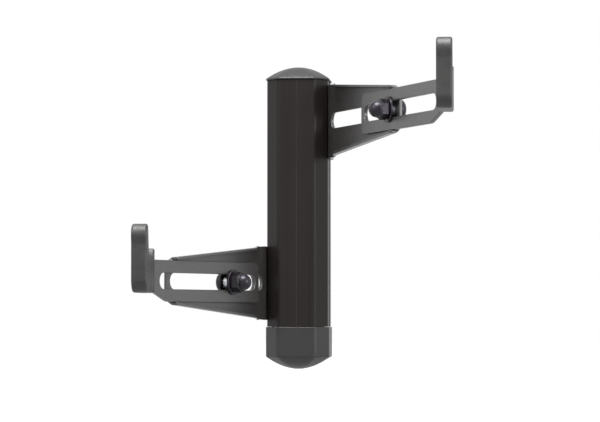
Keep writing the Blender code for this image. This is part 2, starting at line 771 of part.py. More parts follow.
def bracket_shape(side, z):
    arc = BRACKET_BEND * SPLAY
    foot = -arc - (FOOT_FRONT - FOOT_BACK)
    taper = BRACKET_LENGTH - TIP_CHAMFER
    upper = [
        (BRACKET_LENGTH, BRACKET_TIP_HALF - TIP_CHAMFER, TIP_RADIUS),
        (taper, BRACKET_TIP_HALF, TIP_RADIUS),
        (0, BRACKET_ROOT_HALF, 0),
        (foot, BRACKET_ROOT_HALF, FOOT_CORNER),
    ]
    corners = upper + [(along, -height, radius) for along, height, radius in reversed(upper)]
    shape = prism(rounded(corners), -BRACKET_STEEL, 0, flat)
    for way in (-1, 1):
        rings = []
        end = taper - TIP_RADIUS
        for along, tall in ((RIM_START, RIM_FOOT), (RIM_RAMP, RIM_HEIGHT), (end, RIM_HEIGHT)):
            outer = way * (bracket_edge(along) - RIM_SET_IN)
            inner = way * (bracket_edge(along) - RIM_STEEL)
            root = -BRACKET_STEEL / 2
            rings.append([
                flat(along, inner, root),
                flat(along, outer, root),
                flat(along, outer, tall),
                flat(along, inner, tall),
            ])
        shape = join(shape, loft(rings))
    slot = slot_outline(BRACKET_SLOT_INSET, BRACKET_LENGTH - BRACKET_SLOT_INSET, SLIDE_SLOT_HALF)
    shape = cut(shape, prism(slot, -2 * BRACKET_STEEL, BRACKET_STEEL, flat))
    hole = -arc - (FOOT_FRONT - SLOT_DEPTH_POS)
    radius = FOOT_BOLT_RADIUS + SEAT_GAP
    drill = [(-2 * BRACKET_STEEL, radius), (BRACKET_STEEL, radius)]
    for middle in (-FOOT_BOLT_SPACING / 2, FOOT_BOLT_SPACING / 2):
        shape = cut(shape, turned(drill, through_sheet(hole, middle), HOLE_STEPS))
    cuts = [-arc * step / BEND_STEPS for step in range(BEND_STEPS + 1)]
    return fold(shape, cuts, bracket_place(side, z))


# Foot bolts and nut bars, which clamp a bracket's foot to the T slot

def nut_bar_shape(side, z):
    face = POST_SIDE - SLOT_LIP - SEAT_GAP
    half = SLOT_CAVITY_WIDTH / 2 - NUT_BAR_PLAY
    outline = rounded(box(half, -NUT_BAR_LENGTH / 2, NUT_BAR_LENGTH / 2, NUT_BAR_CORNER))

    def place(a, b, across):
        return Vector((side * across, -SLOT_DEPTH_POS + a, z + b))

    shape = prism(outline, face - NUT_BAR_THICK, face, place)
    radius = FOOT_BOLT_RADIUS + SEAT_GAP
    drill = [(face - 2 * NUT_BAR_THICK, radius), (face + TOOL_PAST, radius)]
    for middle in (z - FOOT_BOLT_SPACING / 2, z + FOOT_BOLT_SPACING / 2):
        shape = cut(shape, turned(drill, from_side(side, SLOT_DEPTH_POS, middle), HOLE_STEPS))
    return shape


def foot_seat():
    """Distance from the post's middle to the outer face of a bracket's foot."""
    return FOOT_PLANE + BRACKET_STEEL + SEAT_GAP


def foot_washer_shape(side, z):
    low = foot_seat()
    inner = FOOT_BOLT_RADIUS + SEAT_GAP
    return washer(from_side(side, SLOT_DEPTH_POS, z), low, low + FOOT_WASHER, inner, FOOT_WASHER_RADIUS)


def foot_bolt_shape(side, z):
    place = from_side(side, SLOT_DEPTH_POS, z)
    seat = foot_seat() + FOOT_WASHER + SEAT_GAP
    tip = SLOT_FLOOR + 2 * SEAT_GAP
    shank = [
        (tip, FOOT_BOLT_RADIUS - HEAD_CHAMFER),
        (tip + HEAD_CHAMFER, FOOT_BOLT_RADIUS),
        (seat, FOOT_BOLT_RADIUS),
    ]
    head = button(seat, FOOT_HEAD_RADIUS, FOOT_HEAD_HEIGHT, FOOT_SOCKET)
    shape = turned(shank + head, place, HOLE_STEPS)
    return socket_cut(shape, place, seat + FOOT_HEAD_HEIGHT, FOOT_SOCKET, FOOT_SOCKET)


# Arms

def arm_place(side, z, reach):
    """Folds the flat arm: splayed up to its bend, then square to the wall."""
    frame = arm_frame(side, z)
    arc = ARM_BEND * SPLAY
    centre = frame(reach, ARM_MIDDLE + ARM_BEND, 0)

    def place(along, off, height):
        if along <= 0:
            return frame(reach + along, off, height)
        angle = SPLAY * (1 - min(along, arc) / arc)
        radius = ARM_MIDDLE + ARM_BEND - off
        x = centre.x + side * radius * math.cos(angle)
        y = centre.y + radius * math.sin(angle)
        return Vector((x, y - max(0.0, along - arc), z + height))

    return place


def hook_corners(start, grow):
    """The hook's outline past the bend, from its underside round the lip to its floor."""
    front = start + HOOK_REACH + HOOK_LIP / 2 + grow
    inner = start + HOOK_REACH - HOOK_LIP / 2 - grow
    bend = HOOK_LIP_TOP - HOOK_LEAN_HEIGHT
    top = HOOK_LIP_TOP + grow
    return [
        (front, HOOK_BOTTOM - grow, HOOK_HEEL),
        (front, bend, HOOK_FRONT_CURVE),
        (front + HOOK_LEAN, top, HOOK_TIP + grow),
        (inner + HOOK_LEAN, top, HOOK_TIP + grow),
        (inner, bend, HOOK_THROAT),
        (inner, ARM_HALF + grow, HOOK_INSIDE),
    ]


def arm_shape(side, z, reach):
    arc = ARM_BEND * SPLAY
    corners = [
        (-ARM_STRAIGHT, ARM_HALF, ARM_CORNER),
        (-ARM_STRAIGHT, -ARM_HALF, ARM_CORNER),
        (-HOOK_UNDERCUT, -ARM_HALF, UNDERCUT_CURVE),
        (arc - HOOK_UNDERCUT_END, HOOK_BOTTOM, UNDERCUT_END_CURVE),
    ]
    shape = prism(rounded(corners + hook_corners(arc, 0.0)), ARM_INNER, ARM_OUTER, flat)
    slot = slot_outline(ARM_SLOT_INSET - ARM_STRAIGHT, -ARM_SLOT_TO_BEND, SLIDE_SLOT_HALF)
    shape = cut(shape, prism(slot, ARM_INNER - TOOL_PAST, ARM_OUTER + TOOL_PAST, flat))
    cuts = [arc * step / BEND_STEPS for step in range(BEND_STEPS + 1)]
    return fold(shape, cuts, arm_place(side, z, reach))


def cradle_shape(side, z, reach):
    arc = ARM_BEND * SPLAY
    rear = arc + RUBBER_START
    front = arc + HOOK_REACH + HOOK_LIP / 2 + RUBBER
    inner = arc + HOOK_REACH - HOOK_LIP / 2 - RUBBER
    floor = ARM_HALF + RUBBER_FLOOR
    top = HOOK_LIP_TOP + RUBBER
    bend = top - HOOK_LEAN_HEIGHT
    corners = [
        (rear, HOOK_BOTTOM - RUBBER, RUBBER_UNDERSIDE),
        (front, HOOK_BOTTOM - RUBBER, RUBBER_HEEL),
        (front, bend, RUBBER_FRONT_CURVE),
        (front + HOOK_LEAN, top, RUBBER_TIP),
        (inner + HOOK_LEAN, top, RUBBER_TIP),
        (inner, bend, RUBBER_THROAT),
        (inner, floor, RUBBER_INSIDE),
        (rear + 2 * RUBBER_REAR, floor, RUBBER_RAMP),
        (rear + RUBBER_REAR, floor + RUBBER_REAR_RISE, RUBBER_REAR_TOP),
        (rear, floor + RUBBER_REAR_RISE, RUBBER_REAR_EDGE),
    ]
    low = ARM_MIDDLE - RUBBER_WIDTH / 2
    high = ARM_MIDDLE + RUBBER_WIDTH / 2
    shape = prism(rounded(corners), low, high, flat)
    rims = [edge for edge in shape.edges if abs(edge.verts[0].co.y - edge.verts[1].co.y) < MM]
    bmesh.ops.bevel(
        shape, geom=rims, offset=RUBBER_EDGE, segments=2, profile=0.5, affect="EDGES", clamp_overlap=True
    )
    grow = SEAT_GAP
    past = rear - TOOL_PAST
    room = [(past, HOOK_BOTTOM - grow, 0)] + hook_corners(arc, grow) + [(past, ARM_HALF + grow, 0)]
    shape = cut(shape, prism(rounded(room), ARM_INNER - grow, ARM_OUTER + grow, flat))
    return fold(shape, [], arm_place(side, z, reach))


# Arm clamps: a bolt through both slots, a sleeve that fills them, washers and a cap nut

def clamp_bolt_shape(place):
    seat = -BRACKET_STEEL - CLAMP_WASHER - 2 * SEAT_GAP
    end = ARM_OUTER + CLAMP_WASHER + 2 * SEAT_GAP + CLAMP_THREAD
    shank = [
        (end, CLAMP_BOLT_RADIUS - SCREW_CHAMFER),
        (end - SCREW_CHAMFER, CLAMP_BOLT_RADIUS),
        (seat, CLAMP_BOLT_RADIUS),
    ]
    head = button(seat, CLAMP_HEAD_RADIUS, -CLAMP_HEAD_HEIGHT, CLAMP_SOCKET)
    shape = turned(shank + head, place)
    return socket_cut(shape, place, seat - CLAMP_HEAD_HEIGHT, CLAMP_SOCKET, -CLAMP_SOCKET_DEPTH)


def clamp_sleeve_shape(place):
    low = -BRACKET_STEEL + SEAT_GAP
    high = ARM_OUTER - SEAT_GAP
    return washer(place, low, high, CLAMP_BOLT_RADIUS + SEAT_GAP, SLEEVE_RADIUS)


def outer_washer_shape(place):
    high = -BRACKET_STEEL - SEAT_GAP
    inner = CLAMP_BOLT_RADIUS + SEAT_GAP
    return washer(place, high - CLAMP_WASHER, high, inner, OUTER_WASHER_RADIUS)


def inner_washer_shape(place):
    low = ARM_OUTER + SEAT_GAP
    inner = CLAMP_BOLT_RADIUS + SEAT_GAP
    return washer(place, low, low + CLAMP_WASHER, inner, INNER_WASHER_RADIUS)


def cap_nut_shape(place):
    low = ARM_OUTER + CLAMP_WASHER + 2 * SEAT_GAP
    corner = CAP_NUT_FLATS / math.sqrt(3)
    flank = CAP_NUT_FLATS / 2
    brim = low + CAP_NUT_HEX_HEIGHT
    hexagon = [
        (low, flank),
        (low + CAP_NUT_CHAMFER, corner),
        (brim, corner),
        (brim + CAP_NUT_CHAMFER, flank),
    ]
    dome = [(low + CAP_NUT_CHAMFER, CAP_NUT_DOME)]
    rise = CAP_NUT_HEIGHT - CAP_NUT_HEX_HEIGHT
    for step in range(CAP_NUT_DOME_RINGS):
        angle = math.pi / 2 * (1 - CAP_NUT_POLE) * step / (CAP_NUT_DOME_RINGS - 1)
        dome.append((brim + rise * math.sin(angle), CAP_NUT_DOME * math.cos(angle)))
    shape = join(turned(hexagon, place, 6), turned(dome, place))
    bore = CLAMP_BOLT_RADIUS + SEAT_GAP
    deep = low + CLAMP_THREAD + SEAT_GAP
    return cut(shape, turned([(low - TOOL_PAST, bore), (deep, bore), (deep + bore / 2, bore / 2)], place))


# Assembly

def add_post(finishes):
    axis = make_empty("post_axis", (0, 0, 0))
    steel = finishes["zinc_steel"]
    make_node("post_extrusion", post_shape(), finishes["anodised_black"], axis)
    make_node("wall_rail", rail_shape(), steel, axis)
    for number, z in enumerate(WALL_SCREW_HEIGHTS, 1):
        make_node(f"wall_screw_{number}", wall_screw_shape(z), steel, axis)
        make_node(f"wall_washer_{number}", wall_washer_shape(z), steel, axis)
    for name, side in (("left", -1), ("right", 1)):
        make_node(name + "_lock_screw", lock_screw_shape(side), steel, axis)
    make_node("top_cap", top_cap_shape(), finishes["cap_plastic"], axis)
    make_node("bottom_cap", bottom_cap_shape(), finishes["cap_plastic"], axis)
    make_node("bottom_cap_screw", cap_screw_shape(), finishes["black_steel"], axis)
    return axis


def add_arm(name, setting, finishes, post_axis):
    side = setting["side"]
    z = setting["height"]
    reach = setting["reach"]
    frame = arm_frame(side, z)
    clamp = across_arm(frame, setting["clamp"])
    height_axis = make_empty(name + "_height_axis", (side * POST_SIDE, -SLOT_DEPTH_POS, z), post_axis)
    reach_axis = make_empty(name + "_reach_axis", frame(reach, ARM_MIDDLE, 0), height_axis)
    clamp_axis = make_empty(name + "_clamp_axis", clamp(0, 0, 0), reach_axis)
    nut_axis = make_empty(name + "_nut_axis", clamp(ARM_OUTER, 0, 0), clamp_axis)
    coat = finishes["powder_coat"]
    black = finishes["black_steel"]
    zinc = finishes["zinc_steel"]
    make_node(name + "_bracket", bracket_shape(side, z), coat, height_axis)
    make_node(name + "_nut_bar", nut_bar_shape(side, z), zinc, height_axis)
    for number, way in ((1, -1), (2, 1)):
        bolt_z = z + way * FOOT_BOLT_SPACING / 2
        make_node(f"{name}_foot_washer_{number}", foot_washer_shape(side, bolt_z), black, height_axis)
        make_node(f"{name}_foot_bolt_{number}", foot_bolt_shape(side, bolt_z), black, height_axis)
    make_node(name + "_arm", arm_shape(side, z, reach), coat, reach_axis)
    make_node(name + "_cradle_cover", cradle_shape(side, z, reach), finishes["rubber"], reach_axis)
    make_node(name + "_clamp_bolt", clamp_bolt_shape(clamp), black, clamp_axis)
    make_node(name + "_clamp_sleeve", clamp_sleeve_shape(clamp), zinc, clamp_axis)
    make_node(name + "_outer_washer", outer_washer_shape(clamp), black, clamp_axis)
    make_node(name + "_inner_washer", inner_washer_shape(clamp), black, clamp_axis)
    make_node(name + "_cap_nut", cap_nut_shape(clamp), black, nut_axis)


def main():
    clear_scene()
    finishes = {name: make_finish(name) for name in FINISHES}
    post_axis = add_post(finishes)
    for name, setting in ARM_SETTINGS.items():
        add_arm(name, setting, finishes, post_axis)


main()
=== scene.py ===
import json
import math

import bmesh
import bpy
import numpy as np
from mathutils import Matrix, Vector
from mathutils.geometry import delaunay_2d_cdt


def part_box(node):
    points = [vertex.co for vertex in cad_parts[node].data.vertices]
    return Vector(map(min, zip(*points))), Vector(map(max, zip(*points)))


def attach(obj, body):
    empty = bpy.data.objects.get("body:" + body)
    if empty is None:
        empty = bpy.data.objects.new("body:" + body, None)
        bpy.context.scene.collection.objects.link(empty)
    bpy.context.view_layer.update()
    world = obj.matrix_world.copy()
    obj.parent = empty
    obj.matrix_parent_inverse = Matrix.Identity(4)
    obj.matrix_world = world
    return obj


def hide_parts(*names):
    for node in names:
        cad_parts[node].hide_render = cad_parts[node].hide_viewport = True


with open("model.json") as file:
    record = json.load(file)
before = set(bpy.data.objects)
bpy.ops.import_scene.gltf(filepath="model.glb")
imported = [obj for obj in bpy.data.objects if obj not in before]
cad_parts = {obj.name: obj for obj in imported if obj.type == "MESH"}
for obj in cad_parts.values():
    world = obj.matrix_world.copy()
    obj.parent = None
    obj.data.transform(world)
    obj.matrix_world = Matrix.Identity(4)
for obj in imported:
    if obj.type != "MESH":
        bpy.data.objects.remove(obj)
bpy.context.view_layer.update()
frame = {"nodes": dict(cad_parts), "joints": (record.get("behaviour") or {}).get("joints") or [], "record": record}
print("frame loaded:", len(frame["nodes"]), "nodes")

scene = bpy.context.scene
mm = 0.001


# Camera: the photograph's place, with a longer lens

camera = {
    "place": (0.22, -2.77, -0.098),    # metres, from the middle of the rack's back
    "aim": (0.012, -0.16, 0.002),
    "lens": 168.0,                     # mm on a 36 mm sensor
    "sees": (0.05, 200.0),             # from and to, metres
}


# A camera or lamp that looks from its place at its aim
def aimed(name, data, place, aim):
    item = bpy.data.objects.new(name, data)
    item.location = place
    item.rotation_euler = (Vector(aim) - Vector(place)).to_track_quat("-Z", "Y").to_euler()
    scene.collection.objects.link(item)
    return item


def makeCamera():
    data = bpy.data.cameras.new("camera")
    data.lens = camera["lens"]
    data.clip_start, data.clip_end = camera["sees"]
    scene.camera = aimed("camera", data, camera["place"], camera["aim"])


makeCamera()
scene.view_settings.view_transform = "Standard"
print("camera placed")


# Shader maths: a Signal is an output socket; expressions on it add Math nodes

class Signal:
    def __init__(self, nodes, socket):
        self.nodes = nodes
        self.socket = socket

    def maths(self, operation, *others):
        return self.nodes.node("ShaderNodeMath", {"operation": operation}, [self, *others])

    def __add__(self, other):
        return self.maths("ADD", other)

    def __sub__(self, other):
        return self.maths("SUBTRACT", other)

    def __rsub__(self, other):
        return self.nodes.node("ShaderNodeMath", {"operation": "SUBTRACT"}, [other, self])

    def __mul__(self, other):
        return self.maths("MULTIPLY", other)

    __radd__ = __add__
    __rmul__ = __mul__


class Nodes:
    def __init__(self, tree):
        self.tree = tree

    # Any node: type, settings, values or signals of the inputs, and the output wanted
    def node(self, kind, settings=None, inputs=(), output=0):
        item = self.tree.nodes.new(kind)
        for key, value in (settings or {}).items():
            if key == "stops":
                self.setStops(item.color_ramp, value)
            else:
                setattr(item, key, value)
        for key, value in inputs.items() if isinstance(inputs, dict) else enumerate(inputs):
            self.feed(item.inputs[key], value)
        return Signal(self, item.outputs[output])

    def feed(self, socket, value):
        if isinstance(value, Signal):
            self.tree.links.new(value.socket, socket)
        else:
            socket.default_value = value

    def setStops(self, ramp, stops):
        while len(ramp.elements) < len(stops):
            ramp.elements.new(0.5)
        for element, (place, value) in zip(ramp.elements, stops):
            element.position = place
            element.color = (value, value, value, 1.0)

    # 1 where the camera or a mirror looks, 0 for the light on the object
    def seen(self):
        direct = self.node("ShaderNodeLightPath", output="Is Camera Ray")
        return direct.maths("MAXIMUM", self.node("ShaderNodeLightPath", output="Is Glossy Ray"))


# One material being built; patterns follow Object coordinates, in metres
class Finish(Nodes):
    def __init__(self, name):
        self.material = bpy.data.materials.new(name)
        self.material.use_nodes = True
        super().__init__(self.material.node_tree)
        self.shader = self.tree.nodes["Principled BSDF"]
        self.place = self.node("ShaderNodeTexCoord", output="Object")

    # 0 up to low, 1 from high
    def ramp(self, signal, low, high):
        return self.node("ShaderNodeValToRGB", {"stops": ((low, 0.0), (high, 1.0))}, [signal])

    def noise(self, scale, detail=2.0, roughness=0.5, stretch=(1.0, 1.0, 1.0)):
        place = self.node("ShaderNodeMapping", None, {"Vector": self.place, "Scale": stretch})
        inputs = {"Vector": place, "Scale": scale, "Detail": detail, "Roughness": roughness}
        return self.node("ShaderNodeTexNoise", None, inputs, "Fac")

    def blend(self, factor, low, high):
        low, high = (end if isinstance(end, Signal) else (*end, 1.0) for end in (low, high))
        return self.node("ShaderNodeMix", {"data_type": "RGBA"}, {0: factor, 6: low, 7: high}, 2)

    # The look's first colour, with its second and third over it by masks
    def layers(self, look, second, third):
        base, middle, top = look.values()
        return self.blend(third, self.blend(second, base, middle), top)

    def bump(self, height, distance, strength, normal=None):
        inputs = {"Strength": strength, "Distance": distance, "Height": height}
        if normal is not None:
            inputs["Normal"] = normal
        return self.node("ShaderNodeBump", None, inputs)

    # The normal, rounded along edges
    def soften(self, radius):
        return self.node("ShaderNodeBevel", {"samples": 6}, {"Radius": radius})

    # 1 along edges, 0 on the flats: how far the rounded normal turns from the true one
    def edges(self, radius, sharpness):
        hard = self.node("ShaderNodeNewGeometry", output="Normal")
        both = [self.soften(radius), hard]
        agree = self.node("ShaderNodeVectorMath", {"operation": "DOT_PRODUCT"}, both, "Value")
        return self.ramp((1.0 - agree) * sharpness, 0.05, 0.6)

    def set(self, **values):
        for key, value in values.items():
            self.feed(self.shader.inputs[key.replace("_", " ")], value)
        return self.material


# Finishes: each look's three colours are mixed by noise and along the edges; the paler colour along the edges is a
# painted highlight

def anodisedBlack():
    look = {"base": (0.0085, 0.0062, 0.0062), "lines": (0.016, 0.012, 0.012), "edge": (0.050, 0.042, 0.043)}
    finish = Finish("anodised_black")
    lines = finish.noise(900.0, 3.0, 0.6, (1.0, 1.0, 0.004))     # drawn lines along the extrusion
    broad = finish.noise(60.0, 2.0, 0.5, (1.0, 1.0, 0.03))
    grain = finish.noise(5200.0)
    drawn = finish.ramp(lines * 0.6 + broad * 0.4, 0.35, 0.7)
    # the edge colour laid along the edges is a painted highlight
    colour = finish.layers(look, drawn, finish.edges(0.9 * mm, 5.0) * 0.5)
    normal = finish.bump(lines, 0.03 * mm, 0.5, finish.soften(0.5 * mm))
    normal = finish.bump(grain, 0.015 * mm, 0.5, normal)
    roughness = 0.33 + lines * 0.10 + grain * 0.06
    return finish.set(Base_Color=colour, Roughness=roughness, Specular_IOR_Level=0.20, Normal=normal)


def capPlastic():
    look = {"base": (0.012, 0.0108, 0.011), "pale": (0.019, 0.0175, 0.018), "edge": (0.085, 0.080, 0.081)}
    finish = Finish("cap_plastic")
    spark = finish.noise(3400.0, 3.0, 0.6)        # spark-eroded mould texture
    cloud = finish.noise(38.0)
    # the edge colour laid along the edges is a painted highlight
    colour = finish.layers(look, finish.ramp(cloud, 0.3, 0.75), finish.edges(1.2 * mm, 4.0) * 0.35)
    normal = finish.bump(spark, 0.05 * mm, 0.6, finish.soften(0.7 * mm))
    return finish.set(Base_Color=colour, Roughness=0.36 + spark * 0.14, Normal=normal)


# Pebbled, glossy at low angles, with a painted highlight paler along the edges
def powderCoat():
    look = {"base": (0.018, 0.0168, 0.0162), "fleck": (0.044, 0.0415, 0.040), "edge": (0.10, 0.095, 0.092)}
    finish = Finish("powder_coat")
    pebble = finish.noise(1500.0, 3.0, 0.55)
    swell = finish.noise(240.0)
    fleck = finish.noise(4200.0, 2.0, 0.7)
    patch = finish.noise(420.0, 3.0, 0.65)
    # painted highlight: the edge colour along the edges, broken up by the pebble
    paintedEdgeHighlight = finish.edges(1.1 * mm, 4.0) * finish.ramp(pebble, 0.3, 0.7) * 0.6
    colour = finish.layers(look, finish.ramp(fleck * 0.55 + patch * 0.45, 0.42, 0.64), paintedEdgeHighlight)
    normal = finish.bump(swell, 0.05 * mm, 0.3, finish.soften(0.8 * mm))
    normal = finish.bump(pebble, 0.05 * mm, 0.5, normal)
    roughness = 0.24 + pebble * 0.10 + patch * 0.06
    return finish.set(Base_Color=colour, Roughness=roughness, Specular_IOR_Level=1.0, Normal=normal)


def rubber():
    look = {"base": (0.022, 0.0213, 0.0208), "dust": (0.052, 0.051, 0.050), "edge": (0.10, 0.10, 0.10)}
    finish = Finish("rubber")
    grain = finish.noise(2600.0, 3.0, 0.6)
    cloud = finish.noise(70.0, 3.0)
    # the edge colour laid along the edges is a painted highlight
    colour = finish.layers(look, finish.ramp(cloud, 0.35, 0.8) * 0.7, finish.edges(1.6 * mm, 3.0) * 0.4)
    normal = finish.bump(grain, 0.06 * mm, 0.6)
    return finish.set(Base_Color=colour, Roughness=0.40 + grain * 0.14, Normal=normal)


def zincSteel():
    look = {"base": (0.50, 0.50, 0.51), "blue": (0.60, 0.63, 0.68), "stain": (0.30, 0.29, 0.27)}
    finish = Finish("zinc_steel")
    spangle = finish.noise(420.0, 3.0, 0.6)
    stain = finish.noise(90.0, 4.0, 0.6)
    colour = finish.layers(look, finish.ramp(spangle, 0.35, 0.65), finish.ramp(stain, 0.62, 0.85) * 0.6)
    normal = finish.bump(spangle, 0.03 * mm, 0.5, finish.soften(0.4 * mm))
    return finish.set(Base_Color=colour, Metallic=1.0, Roughness=0.26 + spangle * 0.16, Normal=normal)


def blackSteel():
    look = {"base": (0.015, 0.014, 0.017), "sheen": (0.030, 0.023, 0.036), "edge": (0.13, 0.12, 0.13)}
    finish = Finish("black_steel")
    turned = finish.noise(1800.0)
    tint = finish.noise(110.0)
    # the purplish sheen colour, mixed in by noise, is a painted sheen; the edge colour along the edges is a
    # painted highlight
    colour = finish.layers(look, finish.ramp(tint, 0.4, 0.7), finish.edges(0.8 * mm, 5.0) * 0.6)
    normal = finish.bump(turned, 0.02 * mm, 0.4, finish.soften(0.4 * mm))
    return finish.set(Base_Color=colour, Metallic=0.5, Roughness=0.22 + turned * 0.14, Normal=normal)


for item in frame["nodes"].values():
    item.data.materials.clear()
for material in list(bpy.data.materials):        # the plain ones that came with the frame
    bpy.data.materials.remove(material)
finishes = {}
for make in (anodisedBlack, capPlastic, powderCoat, rubber, zincSteel, blackSteel):
    material = make()
    finishes[material.name] = material
slotOf = {part["node"]: part["material_slot"] for part in frame["record"]["subparts"]}
for name, item in frame["nodes"].items():
    item.data.materials.append(finishes[slotOf[name]])
print("finishes made:", len(finishes))


# Surfaces

# The low and the high corner of a node's box
def boxOf(node):
    return np.array(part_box(node), float)


# Vectors shortened or stretched to a length of 1
def unit(vectors):
    return vectors / np.linalg.norm(vectors, axis=-1, keepdims=True)


# One grid of points from coordinates for the whole grid, its rows or its columns
def gridOf(x, y, z):
    return np.stack(np.broadcast_arrays(x, y, z), -1)


# The corners of the faces between rows of points that each run round
def quadRows(rows, columns, closed=False):
    row, column = np.meshgrid(np.arange(rows if closed else rows - 1), np.arange(columns), indexing="ij")
    here, above = row * columns, (row + 1) % rows * columns
    after = (column + 1) % columns
    return np.stack([here + column, here + after, above + after, above + column], -1).reshape(-1, 4)


# A grid of points as a mesh: rows run along, columns run round.
# A closed shape's last row joins its first; else the end rows are filled, at poles with fans.
def gridPiece(name, grid, finish, body, stands, closed=False, poles=True, crease=35.0):
    rows, columns = grid.shape[:2]
    points = grid.reshape(-1, 3)
    faces = quadRows(rows, columns, closed).tolist()
    for first in () if closed else (0, (rows - 1) * columns):
        ring = first + np.arange(columns)
        if poles:
            points = np.vstack([points, points[ring].mean(0)])
            middle = np.full(columns, len(points) - 1)
            faces += np.stack([ring, np.roll(ring, -1), middle], -1).tolist()
        else:
            faces.append(ring.tolist())
    finishPiece(name, points, faces, finish, body, stands, crease)


# Merges doubles, shades the piece, ties it to its body and hides the nodes it stands for
def finishPiece(name, points, faces, finish, body, stands, crease):
    mesh = bpy.data.meshes.new(name)
    mesh.from_pydata(points.tolist(), [], faces)
    shape = bmesh.new()
    shape.from_mesh(mesh)
    bmesh.ops.remove_doubles(shape, verts=shape.verts, dist=0.002 * mm)
    bmesh.ops.dissolve_degenerate(shape, edges=shape.edges, dist=0.002 * mm)
    bmesh.ops.recalc_face_normals(shape, faces=shape.faces)
    shape.to_mesh(mesh)
    shape.free()
    mesh.shade_smooth()
    mesh.set_sharp_from_angle(angle=math.radians(crease))
    mesh.materials.append(finishes[finish])
    item = bpy.data.objects.new(name, mesh)
    scene.collection.objects.link(item)
    item.modifiers.new("even shading", "WEIGHTED_NORMAL").keep_sharp = True
    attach(item, body)
    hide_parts(*stands)


# Rows of two or three numbers; the third is 0 where it is left out
def filled(rows):
    return np.array([(*row, 0.0)[:3] for row in rows], float)


# A path of corners (a, b, radius), each turned into an arc of so many steps
def roundedPath(corners, steps, closed=False):
    corners = filled(corners)
    count = len(corners)
    points = []
    for index, corner in enumerate(corners):
        here, radius = corner[:2], corner[2]
        if radius <= 0 or not closed and index in (0, count - 1):
            points.append(here[None])
            continue
        before = unit(corners[index - 1][:2] - here)
        after = unit(corners[(index + 1) % count][:2] - here)
        half = math.acos(np.clip(before @ after, -1, 1)) / 2
        middle = here + unit(before + after) * radius / math.sin(half)
        first = here + before * radius / math.tan(half) - middle
        last = here + after * radius / math.tan(half) - middle
        share = np.linspace(0, 1, steps + 1)[:, None]
        swing = math.pi - 2 * half
        arc = (np.sin((1 - share) * swing) * first + np.sin(share * swing) * last) / math.sin(swing)
        points.append(middle + arc)
    return np.vstack(points)


# A closed outline with points no further than a step apart
def evenPath(path, step):
    after = np.roll(path, -1, 0)
    counts = np.maximum(1, np.ceil(np.linalg.norm(after - path, axis=1) / step)).astype(int)
    start = np.repeat(np.arange(len(path)), counts)
    share = np.concatenate([np.arange(count) / count for count in counts])[:, None]
    return path[start] * (1 - share) + after[start] * share


# Distances of the points from the first one, along the path
def runAlong(path):
    return np.concatenate([[0], np.cumsum(np.linalg.norm(np.diff(path, axis=0), axis=1))])


# The loop moved to its left, into the sheet
def insetLoop(loop, inset):
    ahead = unit(np.roll(loop, -1, 0) - np.roll(loop, 1, 0))
    return loop + inset * np.stack([-ahead[:, 1], ahead[:, 0]], -1)


# origin + along * axis + radius * (cos(angle) * across + sin(angle) * the third direction)
def roundGrid(along, radius, origin, axis):
    axis = np.array(axis, float)
    across = np.cross(axis, (0.0, 0.0, 1.0))
    if np.linalg.norm(across) < 0.01:
        across = np.cross(axis, (1.0, 0.0, 0.0))
    across = unit(across)
    angle = np.linspace(0, 2 * math.pi, radius.shape[1], endpoint=False)[:, None]
    ring = np.cos(angle) * across + np.sin(angle) * np.cross(axis, across)
    return np.array(origin, float) + along[:, None, None] * mm * axis + radius[:, :, None] * mm * ring


# A turned piece: radius = R(row), a hexagon where a row's third number is 1, cut to a nut's flats
def turnedGrid(rows, origin, axis, sides=72, nut=None):
    rows = filled(rows)
    angle = np.linspace(0, 2 * math.pi, sides, endpoint=False)
    hexagon = 1 / np.cos((angle + math.pi / 6) % (math.pi / 3) - math.pi / 6)
    radius = rows[:, 1:2] * (1 + rows[:, 2:3] * (hexagon - 1))
    if nut:
        radius = np.minimum(radius, nut / 2 * hexagon)
    return roundGrid(rows[:, 0], radius, origin, axis)


# A flat ring: a rectangle with rounded corners, turned round
def ringPiece(name, ring, origin, axis, sides, finish, body, stands):
    low, high, inner, outer, edge = ring
    corners = [(low, inner, edge), (low, outer, edge), (high, outer, edge), (high, inner, edge)]
    grid = turnedGrid(roundedPath(corners, 4, True), origin, axis, sides)
    gridPiece(name, grid, finish, body, stands, closed=True)


# Button head: quarter ellipse from the rim to a land round the socket, then the socket
def buttonRows(look, seat, way):
    radius, height = look["headRadius"], look["headHeight"]
    socket, depth = look["socket"], look["socketDepth"]
    land = socket * 1.155 + 0.7          # the socket's corners and a little more
    angle = np.radians(np.linspace(8, 90, 12))
    dome = np.stack([seat + way * height * np.sin(angle), land + (radius - land) * np.cos(angle)], -1)
    top = seat + way * height
    return [
        (seat, radius - 0.5), (seat + way * 0.12, radius - 0.15), *dome.tolist(),
        (top, socket + 0.25, 1.0), (top - way * 0.2, socket, 1.0), (top - way * depth, socket, 1.0),
        (top - way * (depth + socket * 0.5), 0.3),
    ]


# A small button-headed screw that points up; its shank's rows are in its look
def makeSmallScrew(node, look, sides, finish):
    low, high = boxOf(node)
    seat = ((low[0] + high[0]) / 2, (low[1] + high[1]) / 2, low[2] + look["headHeight"] * mm)
    grid = turnedGrid(look["shank"] + buttonRows(look, 0.0, 1), seat, (0, 0, -1), sides)
    gridPiece(node + "_turned", grid, finish, "post", [node])


# Sides: where each clamp lies and what it holds

sheetLook = {
    "bracket": 3.0,        # thickness, mm
    "arm": 4.0,
    "gap": 0.3,            # between two pieces that lie on each other
}
armOuter = sheetLook["gap"] + sheetLook["arm"]


class Side:
    def __init__(self, name):
        turn = next(joint for joint in frame["joints"] if joint["name"] == name + "_nut_turn")
        self.name = name
        self.way = -1 if name == "left" else 1
        self.off = np.array(turn["axis"], float)          # out of the bracket's inner face
        self.clamp = np.array(turn["pos_m"], float) - self.off * armOuter * mm


sides = [Side("left"), Side("right")]


# Clamps: button-headed bolt, two washers, sleeve and cap nut

